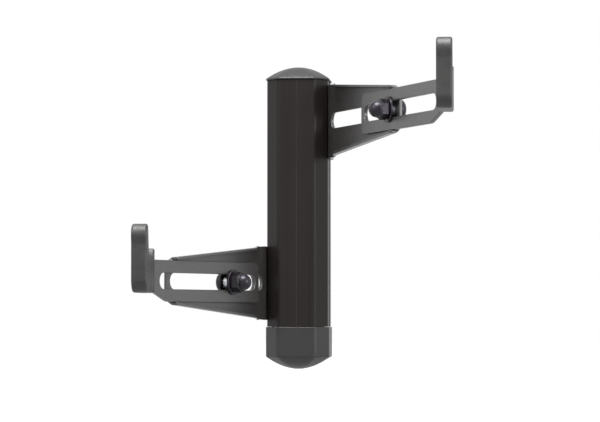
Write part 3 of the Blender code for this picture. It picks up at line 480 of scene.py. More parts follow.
clampLook = {
    "headRadius": 10.0, "headHeight": 5.5, "socket": 3.0, "socketDepth": 3.4, "boltRadius": 5.0,
    "boltReach": 11.5,     # past the nut's seat
    "washer": 2.0, "outerWasher": 11.0, "innerWasher": 12.0, "sleeve": 7.2, "nutFlats": 17.0,
    "nutHex": 8.0, "nutHeight": 17.0,
    "nutCorner": 1.35,     # what the chamfered ends leave of the hexagon's corners
    "dome": 7.9,
}


# Domed nut: bore, chamfered hexagon, waist, then a quarter ellipse up to its top
def nutRows(seat, bore):
    look = clampLook
    flank = look["nutFlats"] / 2
    corner = flank + look["nutCorner"]
    brim = seat + look["nutHex"]
    spring = brim + 0.6
    rise = look["nutHeight"] - look["nutHex"] - 0.6
    angle = np.radians(np.linspace(0, 89, 18))
    dome = np.stack([spring + rise * np.sin(angle), look["dome"] * np.cos(angle)], -1)
    return [
        (seat + 11.0, 2.5), (seat + 10.0, bore), (seat + 0.6, bore), (seat, bore + 0.6),
        (seat, flank - 0.4), (seat + 0.15, flank), (seat + 0.9, corner),
        (brim - 0.9, corner), (brim - 0.1, flank), (brim + 0.1, look["dome"] + 0.3),
        (brim + 0.3, look["dome"] + 0.05), *dome.tolist(),
    ]


def makeClamp(side):
    look = clampLook
    name, place, off = side.name, side.clamp, side.off
    body = name + "_clamp"
    steel, gap, washer = sheetLook["bracket"], sheetLook["gap"], look["washer"]
    radius, reach = look["boltRadius"], look["boltReach"]
    bore = radius + gap
    seat = -steel - washer - 2 * gap
    nutSeat = armOuter + washer + 2 * gap
    rows = [(nutSeat + reach, 3.6), (nutSeat + reach - 1.0, radius), (seat, radius)]
    grid = turnedGrid(rows + buttonRows(look, seat, -1), place, off)
    gridPiece(name + "_clamp_bolt_turned", grid, "black_steel", body, [name + "_clamp_bolt"])
    for part, low, high, outer, edge, finish in (
        ("_outer_washer", -steel - gap - washer, -steel - gap, look["outerWasher"], 0.35, "black_steel"),
        ("_inner_washer", armOuter + gap, armOuter + gap + washer, look["innerWasher"], 0.35, "black_steel"),
        ("_clamp_sleeve", gap - steel, armOuter - gap, look["sleeve"], 0.4, "zinc_steel"),
    ):
        ring, node = (low, high, bore, outer, edge), name + part
        ringPiece(node + "_turned", ring, place, off, 72, finish, body, [node])
    grid = turnedGrid(nutRows(nutSeat, bore), place, off, 120, look["nutFlats"])
    gridPiece(name + "_cap_nut_domed", grid, "black_steel", name + "_nut", [name + "_cap_nut"], crease=24.0)


for side in sides:
    makeClamp(side)
print("clamps made")


# Foot bolts and their washers, on the post's sides

footLook = {
    "headRadius": 5.3, "headHeight": 3.3, "socket": 2.0, "socketDepth": 2.0, "washer": 1.2,
    "washerRadius": 6.5, "shank": 3.0, "shankLength": 12.0,
}


def makeFootBolts(side):
    look = footLook
    body = side.name + "_carriage"
    outward = np.array((side.way, 0.0, 0.0))
    seat = look["washer"] + sheetLook["gap"]
    shank, end = look["shank"], seat - look["shankLength"]
    rows = [(end, shank * 0.7), (end + 0.7, shank), (seat, shank)] + buttonRows(look, seat, 1)
    for number in ("_1", "_2"):
        washer, bolt = side.name + "_foot_washer", side.name + "_foot_bolt"
        low, high = boxOf(washer + number)
        middle = (low + high) / 2
        middle[0] = low[0] if side.way > 0 else high[0]
        ring = (0, look["washer"], shank + sheetLook["gap"], look["washerRadius"], 0.25)
        ringPiece(washer + "_turned" + number, ring, middle, outward, 56, "black_steel", body,
                  [washer + number])
        grid = turnedGrid(rows, middle, outward, 60)
        gridPiece(bolt + "_turned" + number, grid, "black_steel", body, [bolt + number])


for side in sides:
    makeFootBolts(side)
print("foot bolts made")


# Wall screws: hexagon head, bare shank, thread and point

screwLook = {
    "radius": 3.0, "core": 2.15, "pitch": 2.4,
    "ridge": 3.4,          # steepness of the thread's flanks
    "bare": 9.0,           # shank without thread under the head
    "fadeIn": 2.5, "point": 8.0, "headFlats": 10.0, "headHeight": 4.0, "washerRadius": 8.0,
    "washer": 1.6, "sides": 72,
}


# radius = core + depth * ridge(turns along the axis less the turn round it), faded at both ends
def threadRadius(turns, length):
    look = screwLook
    angle = np.linspace(0, 2 * math.pi, look["sides"], endpoint=False)
    phase = (turns[:, None] / look["pitch"] - angle[None] / (2 * math.pi)) % 1.0
    ridge = np.clip(1.0 - np.abs(phase - 0.5) * look["ridge"], 0.0, 1.0)
    fadeIn = np.clip((turns - look["bare"]) / look["fadeIn"], 0, 1)[:, None]
    taper = np.clip((length - turns) / look["point"], 0.0, 1.0)[:, None]
    depth = look["radius"] - look["core"]
    return (look["core"] + depth * (1 - fadeIn)) * taper ** 0.8 + depth * ridge * fadeIn * taper ** 0.5


def makeWallScrew(number):
    look = screwLook
    screw, washer = f"wall_screw_{number}", f"wall_washer_{number}"
    (low, high), (washerLow, washerHigh) = boxOf(screw), boxOf(washer)
    axis = np.array((0.0, 1.0, 0.0))                       # into the wall
    seat = np.array(((low[0] + high[0]) / 2, washerLow[1] - sheetLook["gap"] * mm, (low[2] + high[2]) / 2))
    length = (high[1] - seat[1]) / mm
    turns = np.linspace(look["bare"], length, 260)
    thread = roundGrid(turns, threadRadius(turns, length), seat, axis)
    flank, top, radius = look["headFlats"] / 2, -look["headHeight"], look["radius"]
    head = turnedGrid([
        (top, flank - 1.0), (top + 0.1, flank - 0.4), (top + 0.9, flank + 0.8), (-0.3, flank + 0.8),
        (0.0, flank + 0.3), (0.0, radius + 0.5), (0.5, radius), (look["bare"] - 0.2, radius),
    ], seat, axis, look["sides"], look["headFlats"])
    grid = np.concatenate([head, thread])
    gridPiece(f"wall_screw_threaded_{number}", grid, "zinc_steel", "post", [screw], crease=30.0)
    ring = (0, look["washer"], radius + sheetLook["gap"], look["washerRadius"], 0.3)
    middle = np.array((seat[0], washerHigh[1], seat[2]))
    ringPiece(f"wall_washer_turned_{number}", ring, middle, -axis, 56, "zinc_steel", "post", [washer])


for number in (1, 2, 3, 4):
    makeWallScrew(number)
print("wall screws made")


# Post: the extrusion's outline carried from end to end

postLook = {
    "half": 30.0, "depth": 54.0, "sideDepth": 40.0, "frontHalf": 18.0, "wall": 2.6, "shoulder": 6.0,
    "edge": 1.5, "fillet": 0.8,
    "gap": 0.3,            # off the wall
    "backHalf": 14.0,      # half of the opening at the back
    "lip": 3.0,
    "roomHalf": 26.0,      # inside the lips
    "roomDepth": 6.9, "slotDepth": 22.0, "slotOpening": 8.6, "slotLip": 2.5, "cavity": 17.0,
    "cavityDeep": 6.5, "portRadius": 3.7, "portRoot": 0.5,
}


# Half of the outline, down the outside and back up the inside, then its mirror image
def postOutline(half, depth, sideDepth, frontHalf, wall, shoulder, edge, fillet, gap, backHalf, lip, roomHalf,
                roomDepth, slotDepth, slotOpening, slotLip, cavity, cavityDeep, portRadius, portRoot):
    lipIn = half - slotLip
    floor = lipIn - cavityDeep
    openLow, openHigh = slotDepth - slotOpening / 2, slotDepth + slotOpening / 2
    cavityLow, cavityHigh = slotDepth - cavity / 2, slotDepth + cavity / 2
    hollow, pocket, slotBack, back = floor - wall, half - wall, cavityHigh + wall, gap + lip
    turn = math.atan2(half - frontHalf, depth - sideDepth)
    sideIn = sideDepth - wall * math.tan(turn / 2)
    frontIn = frontHalf - wall * math.tan(math.pi / 4 - turn / 2)
    outer = roundedPath([
        (backHalf, gap), (half, gap, edge), (half, openLow, fillet), (lipIn, openLow, 0.3),
        (lipIn, cavityLow, 0.3), (floor, cavityLow, 0.6), (floor, cavityHigh, 0.6), (lipIn, cavityHigh, 0.3),
        (lipIn, openHigh, 0.3), (half, openHigh, fillet), (half, sideDepth, shoulder),
        (frontHalf, depth, shoulder), (0.0, depth),
    ], 9)
    reach = portRadius - portRoot
    swell = math.asin(reach / portRadius)
    port = (pocket - reach, slotBack + reach)
    angle = np.linspace(math.pi / 2 - swell, math.pi + swell, 28)
    bulge = np.array(port) + portRadius * np.stack([np.cos(angle), np.sin(angle)], -1)
    ceiling, bend = depth - wall, shoulder - wall
    inner = roundedPath([
        (0.0, ceiling), (frontIn, ceiling, bend), (pocket, sideIn, bend), tuple(bulge[0])], 9)
    rest = roundedPath([
        tuple(bulge[-1]), (hollow, slotBack, 0.8), (hollow, roomDepth, 0.8), (roomHalf, roomDepth, 0.6),
        (roomHalf, back, 0.6), (backHalf, back),
    ], 6)
    right = np.vstack([outer, inner, bulge[1:-1], rest])
    return np.vstack([right, right[::-1] * (-1, 1)])


def makePost():
    bottom, top = boxOf("post_extrusion")[:, 2]
    outline = postOutline(**postLook) * mm
    levels = np.concatenate([
        [bottom, bottom + 0.4 * mm], np.linspace(bottom + 1 * mm, top - 1 * mm, 24), [top - 0.4 * mm, top]])
    grid = gridOf(outline[:, 0], -outline[:, 1], levels[:, None])
    gridPiece("post_extruded", grid, "anodised_black", "post", ["post_extrusion"], poles=False)


makePost()
print("post made")


# Caps: the outline shrinks to an oval while it climbs, height = rise * (1 - share squared)

capLook = {
    "half": 31.2, "back": 0.3, "front": 55.2, "frontHalf": 18.6, "sideDepth": 40.0, "shoulder": 6.0,
    "corner": 1.6,
    "gap": 0.3,            # off the post's ends
    "rise": 12.0, "topSkirt": 1.6, "bottomSkirt": 29.0,
    "edge": 1.4,           # radius between the skirt and the crown
    "wall": 2.5, "screwHead": 3.9, "counterbore": 5.0,
}
capScrewLook = {
    "headRadius": 3.6, "headHeight": 2.6, "socket": 1.25, "socketDepth": 1.4,
    "shank": [(-3.0, 1.6), (-2.4, 2.0), (0.0, 2.0)],          # from the seat, and radius
}


# The corners of one half and their mirror images, rounded
def capOutline():
    look = capLook
    half = [
        (look["half"], look["back"], look["corner"]),
        (look["half"], look["sideDepth"], look["shoulder"]),
        (look["frontHalf"], look["front"], look["shoulder"]),
    ]
    path = roundedPath(half + [(-x, depth, radius) for x, depth, radius in reversed(half)], 10, True)
    return evenPath(path, 1.2)


# rows: (share of the outline, height from the mouth, 0 for the outline to 1 for a circle).
# spot = share * (oval * (1 - bent) + outline * bent), where bent = share to the power of 0.8
def capGrid(rows, mouth, way):
    look = capLook
    middle = np.array((0.0, (look["back"] + look["front"]) / 2))
    arm = capOutline() - middle
    deep = (look["front"] - look["back"]) / 2
    oval = arm / np.hypot(arm[:, 0] / look["half"], arm[:, 1] / deep)[:, None]
    circle = unit(arm) * look["half"]
    share, height, circular = filled(rows).T[:, :, None, None]
    bent = np.clip(share, 0, 1) ** 0.8
    spot = (oval * (1 - bent) + arm * bent) * share
    spot = spot * (1 - circular) + circle * share * circular
    return gridOf(spot[:, :, 0] * mm, -(spot[:, :, 1] + middle[1]) * mm, mouth + way * height[:, 0] * mm)


# The crown's profile from the mouth: lead-in, skirt, rounded edge and arch
def crownRows(skirt, last):
    look = capLook
    half = look["half"]
    share = np.cos(np.linspace(0.25, math.acos(last), 26))
    arch = np.stack([half * share, skirt + look["rise"] * (1 - share ** 2)], -1)
    first = [(half - 0.5, 0.0), (half, 0.35, 0.3), (half, skirt, look["edge"])]
    path = np.vstack([roundedPath(first + [tuple(arch[0])], 7), arch[1:]])
    path[:, 0] /= half
    return path.tolist()


def makeTopCap():
    look = capLook
    mouth = boxOf("post_extrusion")[1][2] + look["gap"] * mm
    collar = [(0.60, -8.0), (0.60, 0.0), (0.62, 0.0)]          # the part that goes into the post
    grid = capGrid(collar + crownRows(look["topSkirt"], 0.03), mouth, 1)
    gridPiece("top_cap_moulded", grid, "cap_plastic", "post", ["top_cap"], crease=50.0)


def makeBottomCap():
    look = capLook
    mouth = boxOf("post_extrusion")[0][2] - look["gap"] * mm
    hole = look["screwHead"] / look["half"]
    pole = look["bottomSkirt"] + look["rise"]
    deep = pole - look["counterbore"]
    rim = [(hole + 0.02, pole - 0.12, 1.0), (hole, pole - 0.35, 1.0), (hole, deep, 1.0), (0.075, deep, 1.0),
           (0.075, deep - 2, 1.0)]
    inner = 1 - look["wall"] / look["half"]
    inside = [(inner, look["bottomSkirt"] - 1.0), (inner, 4.0), (inner, 0.4), (inner + 0.012, 0.0)]
    ceiling = [(0.02, look["bottomSkirt"] - 2.0), (0.5, look["bottomSkirt"] - 2.0)]
    grid = capGrid(ceiling + inside + crownRows(look["bottomSkirt"], 0.17) + rim, mouth, -1)
    gridPiece("bottom_cap_moulded", grid, "cap_plastic", "post", ["bottom_cap"], crease=50.0)
    makeSmallScrew("bottom_cap_screw", capScrewLook, 56, "black_steel")


makeTopCap()
makeBottomCap()
print("caps made")


# Cradle covers: the rubber's outline round the hook, carried across

cradleLook = {
    "width": 14.0, "bottom": -11.5, "front": 58.5, "inner": 41.5, "floor": 24.0, "top": 50.0,
    "bend": 32.0,          # height where the lip starts to lean
    "lean": 4.0,
    "frontTip": 10.2,      # radii of the lip's end
    "innerTip": 4.9, "rear": 1.0, "rearRise": 5.0, "edge": 1.9, "ribPitch": 2.4, "ribDepth": 0.35,
    "ribStart": 9.0,       # along the hook
    "band": 2.4,           # half width where the ribs are deepest
}


# The outline, along the hook and above the arm's middle, moved inwards by the section's inset and the
# ribs: depth * ((1 - cos(2 pi * run / pitch)) / 2) squared
def makeCradle(side, width, bottom, front, inner, floor, top, bend, lean, frontTip, innerTip, rear, rearRise,
               edge, ribPitch, ribDepth, ribStart, band):
    raised = floor + rearRise
    path = evenPath(roundedPath([
        (rear, bottom, 3.0), (front, bottom, 12.0), (front, bend, 12.0), (front + lean, top, frontTip),
        (inner + lean, top, innerTip), (inner, bend, 5.0), (inner, floor, 7.0), (rear + 9.0, floor, 6.0),
        (rear + 4.5, raised, 2.6), (rear, raised, 2.0),
    ], 14, True), 0.3)
    along, height = path.T
    holds = (height > floor - 0.5) & (height < top - 12.0) & (along > ribStart) & (along < inner + 3.2)
    fade = np.convolve(holds.astype(float), np.ones(15) / 15, "same")
    rib = ribDepth * fade * (0.5 - 0.5 * np.cos(2 * math.pi * runAlong(path) / ribPitch)) ** 2
    half = width / 2
    section = roundedPath([
        (-half, edge + 0.6), (-half, 0.0, edge), (-band, 0.0),
        (band, 0.0), (half, 0.0, edge), (half, edge + 0.6),
    ], 7)
    middle = np.clip(1.3 - np.abs(section[:, 0]) / (half - edge), 0, 1)
    inset = section[:, 1][:, None] + middle[:, None] * rib[None]
    spots = insetLoop(path, inset[:, :, None])
    low, high = boxOf(side.name + "_cradle_cover")
    back, level = high[1] + rear * mm, high[2] - top * mm
    across = (low[0] + high[0]) / 2 + section[:, 0] * mm
    grid = gridOf(across[:, None], back - spots[:, :, 0] * mm, level + spots[:, :, 1] * mm)
    gridPiece(side.name + "_cradle_rubber", grid, "rubber", side.name + "_slider",
              [side.name + "_cradle_cover"], poles=False, crease=60.0)


for side in sides:
    makeCradle(side, **cradleLook)
print("cradle covers made")


# Sheet pieces: a flat pattern with holes and rounded edges, carried into place by a function

# The loop turned so that it runs round to the left, or to the right
def wound(loop, way):
    area = np.sum(loop[:, 0] * np.roll(loop[:, 1], -1) - np.roll(loop[:, 0], -1) * loop[:, 1])
    return loop if area * way > 0 else loop[::-1]


# Points in the sheet: an odd number of borders lies to their right
def insideLoops(spots, loops):
    crossed = np.zeros(len(spots), int)
    level = spots[:, 1][:, None]
    for loop in loops:
        after = np.roll(loop, -1, 0)
        spans = (loop[:, 1] > level) != (after[:, 1] > level)
        rise = np.where(after[:, 1] == loop[:, 1], 1.0, after[:, 1] - loop[:, 1])
        meets = loop[:, 0] + (level - loop[:, 1]) / rise * (after[:, 0] - loop[:, 0])
        crossed += (spans & (meets > spots[:, 0][:, None])).sum(1)
    return crossed % 2 == 1


# A slot with round ends round a middle line, or a round hole
def slotLoop(start, end, middle, half):
    angle = np.linspace(-math.pi / 2, math.pi / 2, 17)
    arc = half * np.stack([np.cos(angle), np.sin(angle)], -1)
    near = np.array((start + half, middle)) - arc
    far = np.array((end - half, middle)) + arc
    return np.vstack([far, near])


def holeLoop(a, b, radius):
    return slotLoop(a - radius, a + radius, b, radius)


# Every pair of two lists of numbers
def pairs(first, second):
    return np.stack(np.meshgrid(first, second), -1).reshape(-1, 2)


# A quarter round at each face, and both filled with the same triangles through the inner points
def sheetPiece(name, loops, levels, edge, inner, place, finish, body, stands, step=1.2):
    low, high = levels
    loops = [evenPath(wound(loop, -1 if index else 1), step) for index, loop in enumerate(loops)]
    loops = [loop[np.linalg.norm(loop - np.roll(loop, 1, 0), axis=1) > 1e-4] for loop in loops]
    swing = np.linspace(0, math.pi / 2, 5)
    inset = edge * np.concatenate([1 - np.sin(swing), 1 - np.cos(swing)])
    level = np.concatenate([low + edge * (1 - np.cos(swing)), high - edge * (1 - np.sin(swing))])
    flats = [insetLoop(loop, edge) for loop in loops]
    inner = np.array(inner, float).reshape(-1, 2)
    if len(inner):
        inner = inner[insideLoops(inner, flats)]
        near = np.linalg.norm(inner[:, None] - np.vstack(flats)[None], axis=2).min(1)
        inner = inner[near > 0.45]          # mm off the borders
    points, faces, borders, sources = [], [], [], [[], []]
    start = base = 0
    for loop in loops:
        count = len(loop)
        rings = insetLoop(loop, inset[:, None, None])
        points.append(gridOf(rings[:, :, 0], rings[:, :, 1], level[:, None]).reshape(-1, 3))
        faces += (quadRows(len(level), count) + start).tolist()
        ring = np.arange(count)
        borders.append(np.stack([ring, np.roll(ring, -1)], -1) + base)
        sources[0].append(start + ring)
        sources[1].append(start + (len(level) - 1) * count + ring)
        start += len(level) * count
        base += count
    for source, height in zip(sources, levels):
        points.append(np.column_stack([inner, np.full(len(inner), height)]))
        source.append(start + np.arange(len(inner)))
        start += len(inner)
    flat = np.vstack(flats + [inner])
    made = delaunay_2d_cdt([Vector(spot) for spot in flat], np.vstack(borders).tolist(), [], 0, 1e-5)
    original = np.array([ids[0] if ids else -1 for ids in made[3]])
    triangles = original[np.array(made[2])]
    triangles = triangles[insideLoops(flat[triangles].mean(1), flats)]
    for source in sources:
        faces += np.concatenate(source)[triangles].tolist()
    finishPiece(name, place(*np.vstack(points).T) * mm, faces, finish, body, stands, crease=40.0)


# 0 to 1 with level ends: 3 * value squared - 2 * value cubed
def smoothStep(value):
    value = np.clip(value, 0, 1)
    return value * value * (3 - 2 * value)


# Brackets: foot on the post's side, slotted web, folded rims

bracketLook = {
    "length": 180.0,           # from the end of the foot's bend to the tip, mm
    "rootHalf": 36.0, "tipHalf": 22.0,
    "footPlane": 30.3,         # the foot's inner face, from the post's middle
    "footBack": 6.0, "footFront": 42.0, "footCorner": 5.0,
    "bend": 9.0,               # radius of the inner face in the foot's bend
    "splay": math.radians(25),
    "rimHeight": 6.5, "rimSteel": 2.5,
    "rimRadius": 3.6,          # outside of the rim's fold
    "rimStart": 5.0, "rimRamp": 28.0, "tipChamfer": 7.0, "slotHalf": 7.5, "slotInset": 6.0,
    "holeDepth": 22.0, "holeRise": 20.0, "hole": 3.3, "edge": 0.45,
}
bracketSteel = sheetLook["bracket"]
bendArc = bracketLook["bend"] * bracketLook["splay"]
rimArc = (bracketLook["rimRadius"] - bracketSteel / 2) * math.pi / 2
rimReach = rimArc + bracketLook["rimHeight"] + bracketSteel - bracketLook["rimRadius"]


# Half height where the rim's fold starts, and the share of the fold that is made
def rimLine(along):
    look = bracketLook
    share = along / (look["length"] - look["tipChamfer"])
    edge = look["rootHalf"] + (look["tipHalf"] - look["rootHalf"]) * np.clip(share, 0, 1.04)
    made = smoothStep((along - look["rimStart"]) / (look["rimRamp"] - look["rimStart"]))
    return edge - look["rimRadius"], made


# The flat sheet's edge: as far past the fold line as the made share of the rim needs
def rimEdge(along):
    line, made = rimLine(along)
    return line + bracketLook["rimRadius"] + (rimReach - bracketLook["rimRadius"]) * made


# Past the fold line: turn = distance / middle radius up to a right angle, then straight on;
# folded and flat are mixed by the share of the fold that is made
def foldRims(along, height, off):
    look = bracketLook
    line, made = rimLine(along)
    past = np.maximum(0, np.abs(height) - line)
    turn = np.minimum(past / rimArc, 1) * math.pi / 2
    more = np.maximum(0, past - rimArc)
    thinner = 1 - (1 - look["rimSteel"] / bracketSteel) * np.sin(turn) ** 2
    layer = look["rimRadius"] - (off + bracketSteel) * thinner
    folded = np.minimum(np.abs(height), line) + layer * np.sin(turn)
    lifted = look["rimRadius"] - bracketSteel - layer * np.cos(turn) + more
    rise = np.sign(height) * (np.abs(height) * (1 - made) + folded * made)
    return rise, off * (1 - made) + lifted * made


# x and depth = bend radius * cos and sin of the turn, with the foot before and the web after it
def splayed(along, off):
    look = bracketLook
    angle = np.clip((along + bendArc) / look["bend"], 0, look["splay"])
    radius = look["bend"] + off
    past = np.maximum(along, 0)
    back = np.minimum(along + bendArc, 0)
    x = look["footPlane"] + look["bend"] - radius * np.cos(angle) + past * math.sin(look["splay"])
    depth = look["footFront"] + radius * np.sin(angle) + past * math.cos(look["splay"]) + back
    return x, depth


# The pattern: tip, tapered edge and foot, mirrored
def makeBracket(side):
    look = bracketLook
    level = side.clamp[2] / mm

    def place(along, height, off):
        rise, out = foldRims(along, height, off)
        x, depth = splayed(along, out)
        return gridOf(side.way * x, -depth, level + rise)

    foot = -bendArc - (look["footFront"] - look["footBack"])
    end = look["length"] - look["tipChamfer"] - 2.0          # where the rims end
    line = rimLine(end)[0]
    tip = look["tipHalf"] - look["tipChamfer"]
    front = roundedPath([
        (look["length"], 0), (look["length"], tip, 2.0), (end + 1.6, line + 1.2, 1.0), (end, line + 1.4, 0.6),
        (end, rimEdge(end), 2.6), (end - 6.0, rimEdge(end - 6.0)),
    ], 6)
    along = np.linspace(end - 8.0, 0.0, 140)
    rear = roundedPath([(-1.0, look["rootHalf"]), (foot, look["rootHalf"], look["footCorner"]), (foot, 0)], 8)
    upper = np.vstack([front, np.stack([along, rimEdge(along)], -1), rear])
    outline = np.vstack([upper, upper[-2:0:-1] * (1, -1)])
    hole = -bendArc - (look["footFront"] - look["holeDepth"])
    loops = [outline, slotLoop(look["slotInset"], look["length"] - look["slotInset"], 0, look["slotHalf"])]
    loops += [holeLoop(hole, rise, look["hole"]) for rise in (-look["holeRise"], look["holeRise"])]
    inner = [pairs(np.linspace(-bendArc, 0, 7), np.arange(-34, 35, 3.0))]
    along = np.concatenate([np.arange(-1, 30, 1.5), np.arange(30, end, 4.0)])
    for past in np.concatenate([np.linspace(0, rimArc, 8), [rimArc + 2.2, rimArc + 4.2]]):
        for sign in (-1, 1):
            inner.append(np.stack([along, sign * (rimLine(along)[0] + past)], -1))
    inner = np.vstack(inner)
    sheetPiece(side.name + "_bracket_folded", loops, (-bracketSteel, 0.0), look["edge"], inner, place,
               "powder_coat", side.name + "_carriage", [side.name + "_bracket"])


for side in sides:
    makeBracket(side)
print("brackets made")


# Arms: a slotted bar whose end is bent square to the wall and cut to a hook

armLook = {
    "half": 19.2,
    "straight": 195.0,         # from the inner end to the bend
    "bend": 8.0,               # radius of the arm's middle
    "corner": 6.0, "slotHalf": 7.5, "slotInset": 7.0, "slotToBend": 16.0, "undercut": 30.0,
    "hookBottom": -7.5, "hookReach": 50.0, "lip": 9.0, "lipTop": 46.0, "lean": 4.0,
    "leanHeight": 18.0, "edge": 0.55,
}
hookArc = armLook["bend"] * bracketLook["splay"]


def makeArm(side, half, straight, bend, corner, slotHalf, slotInset, slotToBend, undercut, hookBottom,
            hookReach, lip, lipTop, lean, leanHeight, edge):
    gap, splay = sheetLook["gap"], bracketLook["splay"]
    level = side.clamp[2] / mm
    inmost = -boxOf(side.name + "_arm")[1][1] / mm            # depth of the arm's inner end
    startDepth = splayed(0.0, 0.0)[1]
    reach = straight + (inmost - startDepth - gap * math.sin(splay)) / math.cos(splay)
    middle = gap + sheetLook["arm"] / 2
    centreX, centreDepth = splayed(reach, middle + bend)

    # straight up to the bend, round by along / bend radius, then straight out from the wall
    def place(along, height, off):
        x, depth = splayed(reach + np.minimum(along, 0), off)
        angle = splay * (1 - np.clip(along / hookArc, 0, 1))
        radius = middle + bend - off
        turnedX = centreX + radius * np.cos(angle)
        turnedDepth = centreDepth - radius * np.sin(angle) + np.maximum(0, along - hookArc)
        x = np.where(along > 0, turnedX, x)
        return gridOf(side.way * x, -np.where(along > 0, turnedDepth, depth), level + height)

    front = hookArc + hookReach + lip / 2
    back = front - lip
    height = lipTop - leanHeight          # where the lip starts to lean
    outline = roundedPath([
        (-straight, half, corner), (-straight, -half, corner), (-undercut, -half, 20.0),
        (hookArc - 2.0, hookBottom, 14.0), (front, hookBottom, 9.0), (front, height, 10.0),
        (front + lean, lipTop, 4.0), (back + lean, lipTop, 4.0), (back, height, 8.0), (back, half, 6.0),
    ], 10, True)
    slot = slotLoop(slotInset - straight, -slotToBend, 0, slotHalf)
    inner = pairs(np.linspace(0, hookArc, 8), np.arange(-15, 19, 1.5))
    sheetPiece(side.name + "_arm_slotted", [outline, slot], (gap, armOuter), edge, inner, place,
               "powder_coat", side.name + "_slider", [side.name + "_arm"], step=0.8)


for side in sides:
    makeArm(side, **armLook)
print("arms made")


# Wall rail: a folded strip whose middle band lies on the wall, and the post's ledge

railLook = {
    "steel": 3.0,
    "band": 10.0,              # half width of the band on the wall
    "flange": 3.6,             # depth of the back of the flanges
    "half": 24.0, "top": 118.0, "ledgeHalf": 27.0, "ledgeDepth": 45.0, "ledgeCorner": 8.0,
    "hole": 3.3,
    "screws": (-90.0, -32.0, 32.0, 90.0),
    "smallHole": 2.3,
    "smallHoles": ((-24.2, 36.3), (24.2, 36.3), (0, 27.0)),
    "edge": 0.4,
}
lockScrewLook = {
    "headRadius": 3.4, "headHeight": 2.4, "socket": 1.25, "socketDepth": 1.4,
    "shank": [(-14.0, 0.9), (-13.2, 1.6), (0.0, 1.6)],
}


def makeRail(steel, band, flange, half, top, ledgeHalf, ledgeDepth, ledgeCorner, hole, screws, smallHole,
             smallHoles, edge):
    levels = (0.0, steel)
    foot = boxOf("wall_rail")[0][2] / mm
    right = roundedPath([(0, 0), (band, 0, 4.0), (band + flange, flange, 1.4), (half, flange)], 8)
    path = evenPath(np.vstack([right[:0:-1] * (-1, 1), right]), 0.5)
    path = path[: np.argmax(path[:, 0]) + 1]
    run = runAlong(path)
    run -= run[-1] / 2
    ahead = unit(np.gradient(path, axis=0))

    # along the folded strip's back, then off it by the steel
    def fold(across, height, off):
        x = np.interp(across, run, path[:, 0]) - off * np.interp(across, run, ahead[:, 1])
        depth = np.interp(across, run, path[:, 1]) + off * np.interp(across, run, ahead[:, 0])
        return gridOf(x, -depth, height)

    # level, on the rail's lower end
    def lay(across, depth, off):
        return gridOf(across, -depth, foot + off)

    end = run[-1]
    outline = roundedPath([(-end, foot, 0.8), (end, foot, 0.8), (end, top, 3.0), (-end, top, 3.0)], 5, True)
    loops = [outline] + [holeLoop(0, height, hole) for height in screws]
    inner = pairs(run[np.abs(run) > band - 3.0], np.arange(foot + 6, top - 3, 12.0))
    sheetPiece("wall_rail_strip", loops, levels, edge, inner, fold, "zinc_steel", "post", ["wall_rail"])
    outline = roundedPath([
        (-ledgeHalf, 0.2, 0.6), (ledgeHalf, 0.2, 0.6), (ledgeHalf, ledgeDepth, ledgeCorner),
        (-ledgeHalf, ledgeDepth, ledgeCorner),
    ], 8, True)
    loops = [outline] + [holeLoop(*spot, smallHole) for spot in smallHoles]
    sheetPiece("wall_rail_ledge", loops, levels, edge, [], lay, "zinc_steel", "post", ["wall_rail"])


def makeNutBar(side):
    low, high = boxOf(side.name + "_nut_bar") / mm
    middle = (low + high) / 2
    thick, wide, tall = (high - low) / 2
    corners = [(-wide, -tall, 2.0), (wide, -tall, 2.0), (wide, tall, 2.0), (-wide, tall, 2.0)]
    rise, hole = bracketLook["holeRise"], bracketLook["hole"]
    loops = [roundedPath(corners, 8, True), holeLoop(0, -rise, hole), holeLoop(0, rise, hole)]

    def place(a, b, off):
        return gridOf(middle[0] + off, middle[1] + a, middle[2] + b)

    sheetPiece(side.name + "_nut_bar_drilled", loops, (-thick, thick), 0.5, [], place, "zinc_steel",
               side.name + "_carriage", [side.name + "_nut_bar"])
    makeSmallScrew(side.name + "_lock_screw", lockScrewLook, 48, "zinc_steel")


makeRail(**railLook)
for side in sides:
    makeNutBar(side)
print("rail and sliding bars made")


# Studio

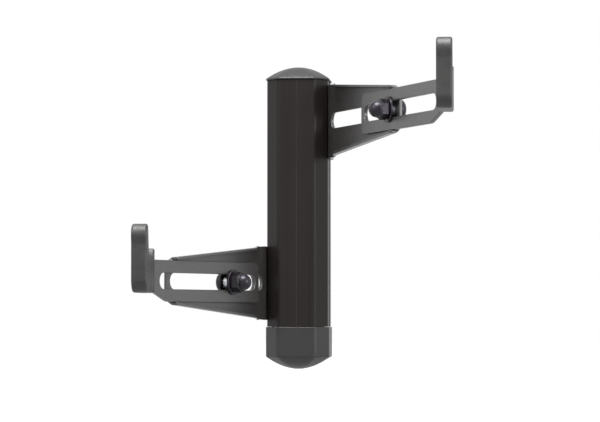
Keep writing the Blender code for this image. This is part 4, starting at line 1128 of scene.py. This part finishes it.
floorLook = {
    "height": -0.48,                   # metres below the rack's middle
    "reach": 40.0,
    "colours": ((0.40, 0.40, 0.40), (0.38, 0.38, 0.38)),
    "roughness": 0.7,
    "lit": (0.0, 0.75, 0.48),          # brings the spot under the top lamp to the middle
    "far": 6.0,                        # distance from that spot where the lift is whole
    # added for the camera and mirrors alone where the lamps fade, so that the floor reads as white
    "lift": ((0.10, 0.02), (0.25, 0.40), (0.37, 0.58), (0.58, 0.72), (1.0, 0.80)),
}
studio = {
    "worldLight": 0.42,
    "lamps": {                         # place, aim, size and power
        "topLamp": ((0.0, -0.75, 1.7), (0, -0.15, 0), 1.3, 70.0),
        "keyLamp": ((-1.5, -1.7, 1.2), (0, -0.1, 0), 1.2, 12.0),
        "fillLamp": ((1.9, -1.3, 0.5), (0, -0.1, 0), 1.2, 19.0),
    },
}


# A square; its lift goes by the distance from the lit spot
def makeFloor(height, reach, colours, roughness, lit, far, lift):
    corners = [(-reach, -reach), (reach, -reach), (reach, reach), (-reach, reach)]
    mesh = bpy.data.meshes.new("floor")
    mesh.from_pydata([(*corner, height) for corner in corners], [], [(0, 1, 2, 3)])
    floor = bpy.data.objects.new("floor", mesh)
    scene.collection.objects.link(floor)
    finish = Finish("floor")
    colour = finish.blend(finish.noise(1.5) * 0.1, *colours)
    spot = finish.node("ShaderNodeMapping", None, {"Vector": finish.place, "Location": lit})
    away = finish.node("ShaderNodeVectorMath", {"operation": "LENGTH"}, [spot], "Value")
    added = finish.node("ShaderNodeValToRGB", {"stops": lift}, [away * (1 / far)])
    glow = finish.blend(finish.seen(), (0.0, 0.0, 0.0), added)
    finish.set(Base_Color=colour, Roughness=roughness, Emission_Color=glow, Emission_Strength=1.0)
    below = finish.node("ShaderNodeNewGeometry", output="Backfacing")     # nothing hides the rack from below
    clear = finish.node("ShaderNodeBsdfTransparent")
    solid = Signal(finish, finish.shader.outputs[0])
    surface = finish.node("ShaderNodeMixShader", None, [below, solid, clear])
    finish.feed(finish.tree.nodes["Material Output"].inputs["Surface"], surface)
    mesh.materials.append(finish.material)


# White where it is seen, and plainer as light on the object
def makeWorld():
    world = bpy.data.worlds.new("studio")
    world.use_nodes = True
    scene.world = world
    nodes = Nodes(world.node_tree)
    background = world.node_tree.nodes["Background"]
    nodes.feed(background.inputs["Color"], (1.0, 1.0, 1.0, 1.0))
    plain = studio["worldLight"]
    nodes.feed(background.inputs["Strength"], plain + nodes.seen() * (1.0 - plain))


def makeLamp(name, place, aim, size, power):
    lamp = bpy.data.lights.new(name, "AREA")
    lamp.shape = "DISK"
    lamp.size = size
    lamp.energy = power
    aimed(name, lamp, place, aim)


makeFloor(**floorLook)
makeWorld()
for name, settings in studio["lamps"].items():
    makeLamp(name, *settings)
print("studio lit")
